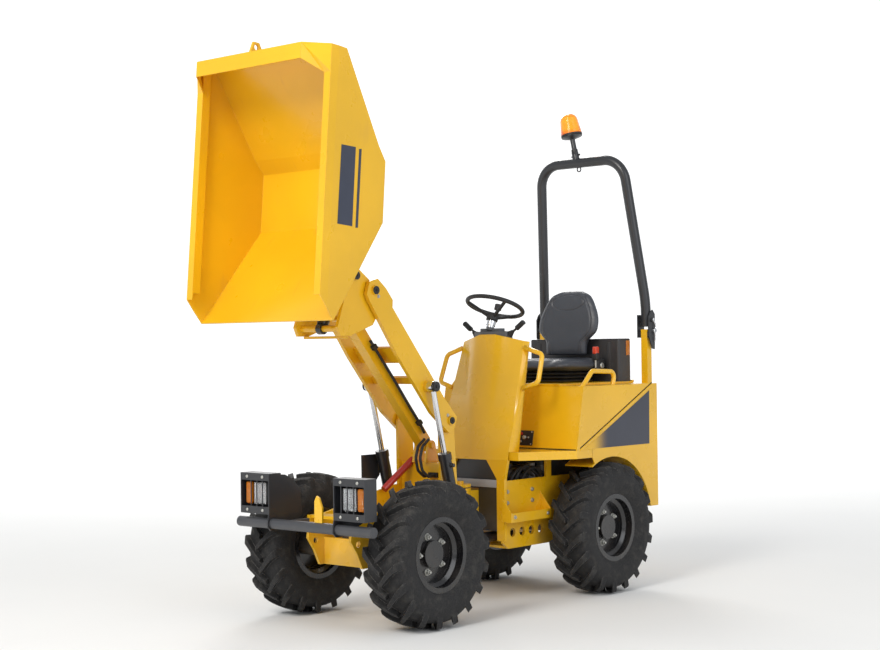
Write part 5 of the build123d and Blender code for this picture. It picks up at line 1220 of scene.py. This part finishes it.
def padded_piece(name, form, cap, press, node):
    """A pad: remeshed, blown up a little as foam fills its skin, smoothed, then pressed at its seams."""
    mesh = bpy.data.meshes.new(name)
    form.to_mesh(mesh)
    form.free()
    worked = bpy.data.objects.new(name + "_work", mesh)
    bpy.context.scene.collection.objects.link(worked)
    remesh = worked.modifiers.new("remesh", "REMESH")
    remesh.mode, remesh.voxel_size = "VOXEL", PAD_VOXEL
    even = bpy.data.meshes.new_from_object(worked.evaluated_get(bpy.context.evaluated_depsgraph_get()))
    worked.modifiers.remove(remesh)
    worked.data = even
    rest = [vertex.co.copy() for vertex in even.vertices]
    cloth = worked.modifiers.new("cloth", "CLOTH")
    cloth.settings.use_pressure = True
    cloth.settings.uniform_pressure_force = PAD_PRESSURE
    cloth.settings.effector_weights.gravity = 0.0
    cloth.point_cache.frame_start, cloth.point_cache.frame_end = 1, PAD_FRAMES
    for step in range(1, PAD_FRAMES + 1):
        bpy.context.scene.frame_set(step)
    blown = worked.evaluated_get(bpy.context.evaluated_depsgraph_get()).data
    moved = [vertex.co.copy() for vertex in blown.vertices]
    bpy.context.scene.frame_set(1)
    worked.modifiers.remove(cloth)
    for vertex, start, end in zip(even.vertices, rest, moved):
        shift = end - start
        vertex.co = start + (shift.normalized() * cap if shift.length > cap else shift)
    smoother = worked.modifiers.new("smooth", "SMOOTH")
    smoother.factor, smoother.iterations = 0.5, 6
    finer = worked.modifiers.new("finer", "SUBSURF")
    finer.levels = finer.render_levels = 1
    final = bpy.data.meshes.new_from_object(worked.evaluated_get(bpy.context.evaluated_depsgraph_get()))
    bpy.data.objects.remove(worked)
    low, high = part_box(node)
    facing = [vertex.normal.copy() for vertex in final.vertices]
    for vertex, normal in zip(final.vertices, facing):
        place = press(vertex.co.copy(), normal)
        for axis in range(3):
            place[axis] = max(low[axis], min(high[axis], place[axis]))
        vertex.co = place
    final.shade_smooth()
    pad = finish_object(name, final, seat_vinyl.material)
    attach(pad, "engine_cover")
    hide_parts(node)
    return pad


def squared(value, power):
    """A sine or cosine pushed out towards a square's side."""
    return math.copysign(abs(value) ** power, value)


def groove(distance, width, depth):
    """How deep a sewn seam draws the skin in, at a distance from its line."""
    return depth * math.exp(-(distance / width) ** 2)


BACK_OUTLINE = (
    (0.0, 0.132), (0.12, 0.135), (0.22, 0.143), (0.30, 0.172), (0.37, 0.193), (0.46, 0.199), (0.56, 0.197),
    (0.66, 0.186), (0.76, 0.169), (0.86, 0.148), (0.94, 0.120), (1.0, 0.066))
BACK_SEAM_INSET, BACK_SEAM_WIDTH, BACK_SEAM_DEPTH = 0.038, 0.0030, 0.0045
HEAD_SEAM_WIDTH, HEAD_SEAM_DEPTH = 0.0028, 0.0040
# the upper panel: half width, share of the height at its middle, half its share of the height
HEAD_PANEL = (0.105, 0.80, 0.115)
BACK_HOLLOW = 0.007
BACK_DEPTH = ((0.0, 0.026), (0.05, 0.032), (0.30, 0.034), (0.85, 0.032), (0.95, 0.026), (1.0, 0.010))
back_low, back_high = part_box("seat_back")
back_size = back_high - back_low


def back_middle(share):
    """Where the backrest's middle lies, front to back, at a share of its height."""
    return between(((0.0, 1.017), (0.25, 1.026), (1.0, 1.0735)), share)


rings = []
for step in range(PAD_STEPS + 1):
    share = step / PAD_STEPS
    half, depth = between(BACK_OUTLINE, share), between(BACK_DEPTH, share)
    ring = []
    for angle in round_angles(PAD_POINTS):
        across, out = math.cos(angle), math.sin(angle)
        x = half * squared(across, 0.62)
        wing = 0.012 * max(0.0, abs(x) / max(half, 0.1) - 0.55) / 0.45
        y = back_middle(share) + depth * squared(out, 0.72) - wing
        ring.append((x, y, back_low.z + 0.004 + share * (back_size.z - 0.010)))
    rings.append(ring)


def press_back(place, normal):
    """Draws in the backrest's seams: one round the padded middle, one under its upper panel."""
    share = (place.z - back_low.z) / back_size.z
    if normal.y < 0.25:
        half = between(BACK_OUTLINE, max(0.0, min(1.0, share)))
        near_side = abs(abs(place.x) - (half - BACK_SEAM_INSET))
        slope = 1.0 if share < 0.8 else 0.75
        draw = groove(near_side * slope, BACK_SEAM_WIDTH, BACK_SEAM_DEPTH) if share < 0.90 else 0.0
        panel_half, panel_middle, panel_rise = HEAD_PANEL
        top_line = math.hypot(place.x / panel_half, (share - panel_middle) / panel_rise)
        ring_gap = abs(top_line - 1.0) * 0.045
        draw = max(draw, groove(ring_gap, HEAD_SEAM_WIDTH, HEAD_SEAM_DEPTH))
        middle = max(0.0, 1.0 - abs(place.x) / (half - 0.030))
        hollow = BACK_HOLLOW * math.sin(math.pi * min(1.0, max(0.0, share))) * middle ** 0.5
        place = place + Vector((0, draw + hollow, 0))
    return place


padded_piece("seat_backrest", lofted(rings), 0.005, press_back, "seat_back")
CUSHION_OUTLINE = (
    (0.0, 0.150), (0.04, 0.184), (0.12, 0.205), (0.25, 0.212), (0.75, 0.211), (0.92, 0.203), (1.0, 0.186))
CUSHION_TOP = (
    (0.0, 1.158), (0.05, 1.178), (0.14, 1.193), (0.30, 1.196), (0.55, 1.190), (0.74, 1.192), (0.85, 1.199),
    (1.0, 1.192))
CUSHION_SEAM_INSET, CUSHION_SEAM_WIDTH, CUSHION_SEAM_DEPTH = 0.050, 0.0032, 0.005
# seams across the cushion: share of its length, depth
CROSS_SEAMS = ((0.16, 0.005), (0.62, 0.004))
CUSHION_UNDER = ((0.0, 1.150), (0.10, 1.141), (0.30, 1.135), (1.0, 1.134))
seat_low, seat_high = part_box("seat_cushion")
seat_size = seat_high - seat_low
rings = []
for step in range(PAD_STEPS + 1):
    share = step / PAD_STEPS
    half = between(CUSHION_OUTLINE, share)
    top, under = between(CUSHION_TOP, share), between(CUSHION_UNDER, share)
    ring = []
    for angle in round_angles(PAD_POINTS):
        across, out = math.cos(angle), math.sin(angle)
        x = half * squared(across, 0.55)
        swell = 0.010 * max(0.0, abs(x) / half - 0.55) / 0.45 if out > 0 else 0.0
        z = (top + under) / 2 + (top - under) / 2 * squared(out, 0.7) + swell * abs(out)
        ring.append((x, seat_low.y + 0.006 + share * (seat_size.y - 0.012), z))
    rings.append(ring)


def press_cushion(place, normal):
    """Draws in the cushion's seams: one inside each bolster, and two across between them."""
    share = (place.y - seat_low.y) / seat_size.y
    if normal.z > 0.3:
        inner = between(CUSHION_OUTLINE, max(0.0, min(1.0, share))) - CUSHION_SEAM_INSET
        from_bolster, behind_roll = abs(abs(place.x) - inner), share > CROSS_SEAMS[0][0]
        draw = groove(from_bolster, CUSHION_SEAM_WIDTH, CUSHION_SEAM_DEPTH) if behind_roll else 0.0
        if abs(place.x) < inner:
            for seam, depth in CROSS_SEAMS:
                distance = abs(place.y - seat_low.y - seam * seat_size.y)
                draw = max(draw, groove(distance, CUSHION_SEAM_WIDTH, depth))
        place = place - Vector((0, 0, draw))
    return place


padded_piece("seat_pad", lofted(rings), 0.006, press_cushion, "seat_cushion")

bellows = mottled(
    "bellows_rubber", ((0.013, 0.013, 0.014), (0.026, 0.025, 0.025)), (25.0, 4.0), 0.34, 0.15,
    Coat_Weight=0.25, Coat_Roughness=0.25)
base_low, base_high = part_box("seat_base")


def rounded_plan(centre, half, corner, height, sides=8):
    """A rounded rectangle's points at a height."""
    ring = []
    for quarter, (sx, sy) in enumerate(((1, 1), (-1, 1), (-1, -1), (1, -1))):
        for step in range(sides + 1):
            angle = (quarter + step / sides) * math.pi / 2
            x = centre[0] + sx * (half[0] - corner) + corner * math.cos(angle)
            y = centre[1] + sy * (half[1] - corner) + corner * math.sin(angle)
            ring.append((x, y, height))
    return ring


centre = ((base_low.x + base_high.x) / 2, (base_low.y + base_high.y) / 2)
half = ((base_high.x - base_low.x) / 2, (base_high.y - base_low.y) / 2)
FOLDS, FOLD_STEPS, FOLD_DEPTH = 3, 8, 0.020
base_height = base_high.z - base_low.z
rings = []
for step in range(FOLDS * FOLD_STEPS + 1):
    wave = 0.5 - 0.5 * math.cos(2 * math.pi * step / FOLD_STEPS)
    draw_in = FOLD_DEPTH - FOLD_DEPTH * wave ** 0.6
    level = base_low.z + base_height * step / (FOLDS * FOLD_STEPS)
    rings.append(rounded_plan(centre, (half[0] - draw_in, half[1] - draw_in), 0.045, level))
form = lofted(rings)
bellows_piece = piece_from(form, "seat_bellows", bellows.material, "engine_cover", 60)
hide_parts("seat_base")

buckle_orange = painted("buckle_orange", (0.62, 0.050, 0.016), 0.35, 0.05, coat=0.3, chip=0.1)
form, dark_form, tongue = bmesh.new(), bmesh.new(), bmesh.new()
# the buckle, its holder and the hinge's cover: form, low corner, high corner, bevel
for moulding, low, high, bevel in (
    (form, (0.202, 0.964, 1.222), (0.226, 0.998, 1.262), 0.006),
    (dark_form, (0.199, 0.967, 1.190), (0.229, 0.995, 1.228), 0.005),
    (dark_form, (0.168, 0.982, 1.120), (0.222, 1.054, 1.196), 0.010)):
    bevelled_box(moulding, low, high, bevel, 3)
prism(tongue, 24, 0.016, (0.219, 1.024, 1.160), (0.228, 1.024, 1.160), 0.003)
prism(tongue, 12, 0.005, (0.213, 0.980, 1.150), (0.213, 0.980, 1.205), 0.001)
piece_from(form, "belt_buckle", buckle_orange, "engine_cover")
piece_from(dark_form, "seat_hinge", moulded.material, "engine_cover")
piece_from(tongue, "seat_hinge_knob", zinc.material, "engine_cover", 30)


# ---------------------------------------------------------------------------------------------
# Rear housing: a folded black box behind the seat, with rolled upper edges, two stiffening ribs on
# its front and a small amber marker lamp at its left corner.
box_black = painted("housing_black", (0.030, 0.030, 0.033), 0.42, 0.15, coat=0.15, chip=0.2)
dress(box_black, "rear_box")
RIB_X, RIB_HALF_WIDTH = 0.235, 0.012
box_low, box_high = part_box("rear_box")
form, lamp_form = bmesh.new(), bmesh.new()
low = (-0.294, box_low.y + 0.004, box_high.z - 0.001)
bevelled_box(form, low, (0.294, box_high.y - 0.004, box_high.z + 0.004), 0.0035)
low = (RIB_X - RIB_HALF_WIDTH, box_low.y - 0.003, 1.090)
both_sides(form, low, (RIB_X + RIB_HALF_WIDTH, box_low.y + 0.002, 1.285), 0.002)
piece_from(form, "housing_trim", box_black, "engine_cover")
bevelled_box(lamp_form, (0.2945, 1.138, 1.214), (0.3055, 1.172, 1.294), 0.005, 3)
piece_from(lamp_form, "marker_lamp", amber_lens, "engine_cover")


# ---------------------------------------------------------------------------------------------
# Roll-over frame: yellow posts with black clevises, and a folding hoop of black tube held up by a
# locking lever with a bright handle on each side. Beacon stalk and ring eye are part of the hoop.
_, bracket_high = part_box("hinge_brackets")
lever_form, knob_form = bmesh.new(), bmesh.new()
for side in (1, -1):
    face = side * (bracket_high.x - 0.004)
    # how far it stands out, place along and up
    lever = (
        (0.0, 1.272, 1.404), (0.006, 1.284, 1.374), (0.006, 1.280, 1.342), (0.004, 1.284, 1.305),
        (0.002, 1.281, 1.282))
    hose(lever_form, [(face + side * out, y, z) for out, y, z in lever], 0.0045)
    # radius, place along and up, how far it stands out, chamfer
    for radius, y, z, reach, chamfer in (
        (0.013, 1.279, 1.345, 0.011, 0.003), (0.009, 1.272, 1.404, 0.007, 0.002)):
        prism(knob_form, 24, radius, (face - side * 0.003, y, z), (face + side * reach, y, z), chamfer)
piece_from(lever_form, "lock_levers", chrome.material, "rear_frame", 60)
piece_from(knob_form, "lock_knobs", chrome.material, "rear_frame", 30)
POST_X, POST_BOLT_HEIGHTS = 0.345, (0.800, 0.835, 0.990, 1.025)
_, post_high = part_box("rops_posts")
rows = [((POST_X, post_high.y, z), (0, 1, 0), 0.0085) for z in POST_BOLT_HEIGHTS]
fixings("post_bolts", "rear_frame", hexagon, rows)


# ---------------------------------------------------------------------------------------------
# Beacon: a fluted amber dome screwed on a dark base, with its reflector drum inside, which glows as
# painted light. It stands on the hoop's leaning stalk.
BEACON_FOOT = Vector((-0.027, 1.1609, 2.275))
BEACON_LEAN = math.radians(-12)
BEACON_RADIUS = 0.060
BEACON_FOOT_HEIGHT = 0.153
# the dome's ribbed wall and its crown
WALL_STEPS, WALL_HEIGHT, WALL_TAPER, RIB_DEPTH = 14, 0.072, 0.0095, 0.0008
CROWN_STEPS, CROWN_RADIUS, CROWN_HEIGHT = 9, 0.0490, 0.043
beacon_lens = Finish("beacon_lens", Roughness=0.10, IOR=1.49, Transmission_Weight=0.75, Coat_Weight=0.3)
beacon_rise = beacon_lens.axes()[2]
beacon_flute = beacon_lens.flutes(2, FLUTE_PACE)
beacon_cloud = beacon_lens.noise(40.0, 2.0)
low_red = beacon_rise.ramp(2.432, 2.468)
beacon_tint = beacon_lens.mix(low_red, (0.72, 0.06, 0.002, 1), (1.0, 0.36, 0.01, 1))
beacon_tint = beacon_lens.mix(beacon_cloud * 0.3, beacon_tint, (1.0, 0.50, 0.03, 1))
beacon_lens.show(Base_Color=beacon_tint, Normal=beacon_lens.bump(beacon_flute, 0.0010, 0.5))
# The reflector drum is given a glow of its own: painted light standing in for its bright reflections.
drum_glow_paint = Finish("beacon_drum_glow", Roughness=0.35)
core_cloud = drum_glow_paint.noise(60.0, 2.0)
core_colour = drum_glow_paint.mix(core_cloud, (0.95, 0.50, 0.05, 1), (1.0, 0.78, 0.22, 1))
drum_glow_paint.show(Base_Color=core_colour, Emission_Color=core_colour)
drum_glow_paint.material.node_tree.nodes["Principled BSDF"].inputs["Emission Strength"].default_value = 0.8


def on_stalk(form):
    """A form built upright from the stalk's foot, leaned with the stalk and set on the hoop."""
    form.transform(Matrix.Translation(BEACON_FOOT) @ Matrix.Rotation(BEACON_LEAN, 4, "Y"))
    return recalculated(form)


def turned(profile, steps=48):
    """A form turned round the upright axis from (radius, height) points, both ends on the axis."""
    form = bmesh.new()
    rows = []
    for radius, height in profile:
        if radius < 1e-6:
            rows.append([form.verts.new((0, 0, height))])
            continue
        rows.append([
            form.verts.new((radius * math.cos(angle), radius * math.sin(angle), height))
            for angle in round_angles(steps)])
    for near, far in zip(rows, rows[1:]):
        for step in range(steps):
            after = (step + 1) % steps
            turns = ((near, step), (near, after), (far, after), (far, step))
            corners = [row[index % len(row)] for row, index in turns]
            form.faces.new(list(dict.fromkeys(corners)))
    return form


foot = BEACON_FOOT_HEIGHT
edge = BEACON_RADIUS - 0.001
wall = [(0.0, foot + 0.012), (edge, foot + 0.012)]
for step in range(WALL_STEPS + 1):
    rise = step / WALL_STEPS
    girth = edge - WALL_TAPER * rise - RIB_DEPTH * (step % 2)
    wall.append((girth, foot + 0.014 + WALL_HEIGHT * rise))
for step in range(1, CROWN_STEPS + 1):
    angle = step / CROWN_STEPS * math.pi / 2
    girth = CROWN_RADIUS * math.cos(angle) ** 0.8 if step < CROWN_STEPS else 0.0
    wall.append((girth, foot + 0.014 + WALL_HEIGHT + CROWN_HEIGHT * math.sin(angle)))
dome_form = on_stalk(turned(wall))
lens_piece = piece_from(dome_form, "beacon_dome", beacon_lens.material, "rops_hoop", 50)
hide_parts("beacon")
drum = ((0.0, 0.012), (0.023, 0.012), (0.030, 0.034), (0.031, 0.090), (0.023, 0.106), (0.0, 0.109))
drum_form = on_stalk(turned([(radius, foot + height) for radius, height in drum], 32))
piece_from(drum_form, "beacon_drum", drum_glow_paint.material, "rops_hoop", 40)
base = ((0.0, -0.001), (0.052, -0.001), (edge, 0.002), (edge, 0.0115), (0.0, 0.0115))
base_form = on_stalk(turned([(radius, foot + height) for radius, height in base]))
piece_from(base_form, "beacon_base", moulded.material, "rops_hoop", 40)
nut = bmesh.new()
# sides, radius, start, end, chamfer
for bolt in (
    (6, 0.021, (0, 0, 0.050), (0, 0, 0.064), 0.002), (24, 0.018, (0, 0, 0.064), (0, 0, 0.080), 0.003),
    (12, 0.0055, (-0.026, 0, 0.042), (0.030, 0, 0.042), 0.001)):
    prism(nut, *bolt)
piece_from(on_stalk(nut), "stalk_clamp", pin_black, "rops_hoop", 30)


# ---------------------------------------------------------------------------------------------
# Tail lamps: a red lens in a black case at each lower rear corner, and the tow pin in the hitch.
tail_red = Finish("tail_lens", Roughness=0.12, IOR=1.49, Transmission_Weight=0.35, Coat_Weight=0.4)
tail_rib = tail_red.flutes(0, FLUTE_PACE)
tail_tint = tail_red.mix(tail_rib * 0.5 + 0.5, (0.45, 0.010, 0.008, 1), (0.75, 0.03, 0.02, 1))
tail_red.show(Base_Color=tail_tint, Normal=tail_red.bump(tail_rib, 0.0012, 0.5))
TAIL_INNER_X = 0.350
tail_low, tail_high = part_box("tail_lamps")
case_form, lens_form = bmesh.new(), bmesh.new()
tail_lamp, tail_depth = (tail_low, tail_high, tail_high.x - TAIL_INNER_X), tail_high.y - tail_low.y
lamp_part(case_form, *tail_lamp, (0.0, 0.0), 0.0, tail_depth - 0.012, 0.004)
lamp_part(lens_form, *tail_lamp, (0.003, 0.003), tail_depth - 0.013, tail_depth, 0.005, 3)
case_piece = piece_from(case_form, "tail_cases", moulded.material, "rear_frame")
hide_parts("tail_lamps")
piece_from(lens_form, "tail_lenses", tail_red.material, "rear_frame")
dress(zinc.material, "tow_pin")


# ---------------------------------------------------------------------------------------------
# Last: the bounds of all the pieces that render, the backdrop left out.
low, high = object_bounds()
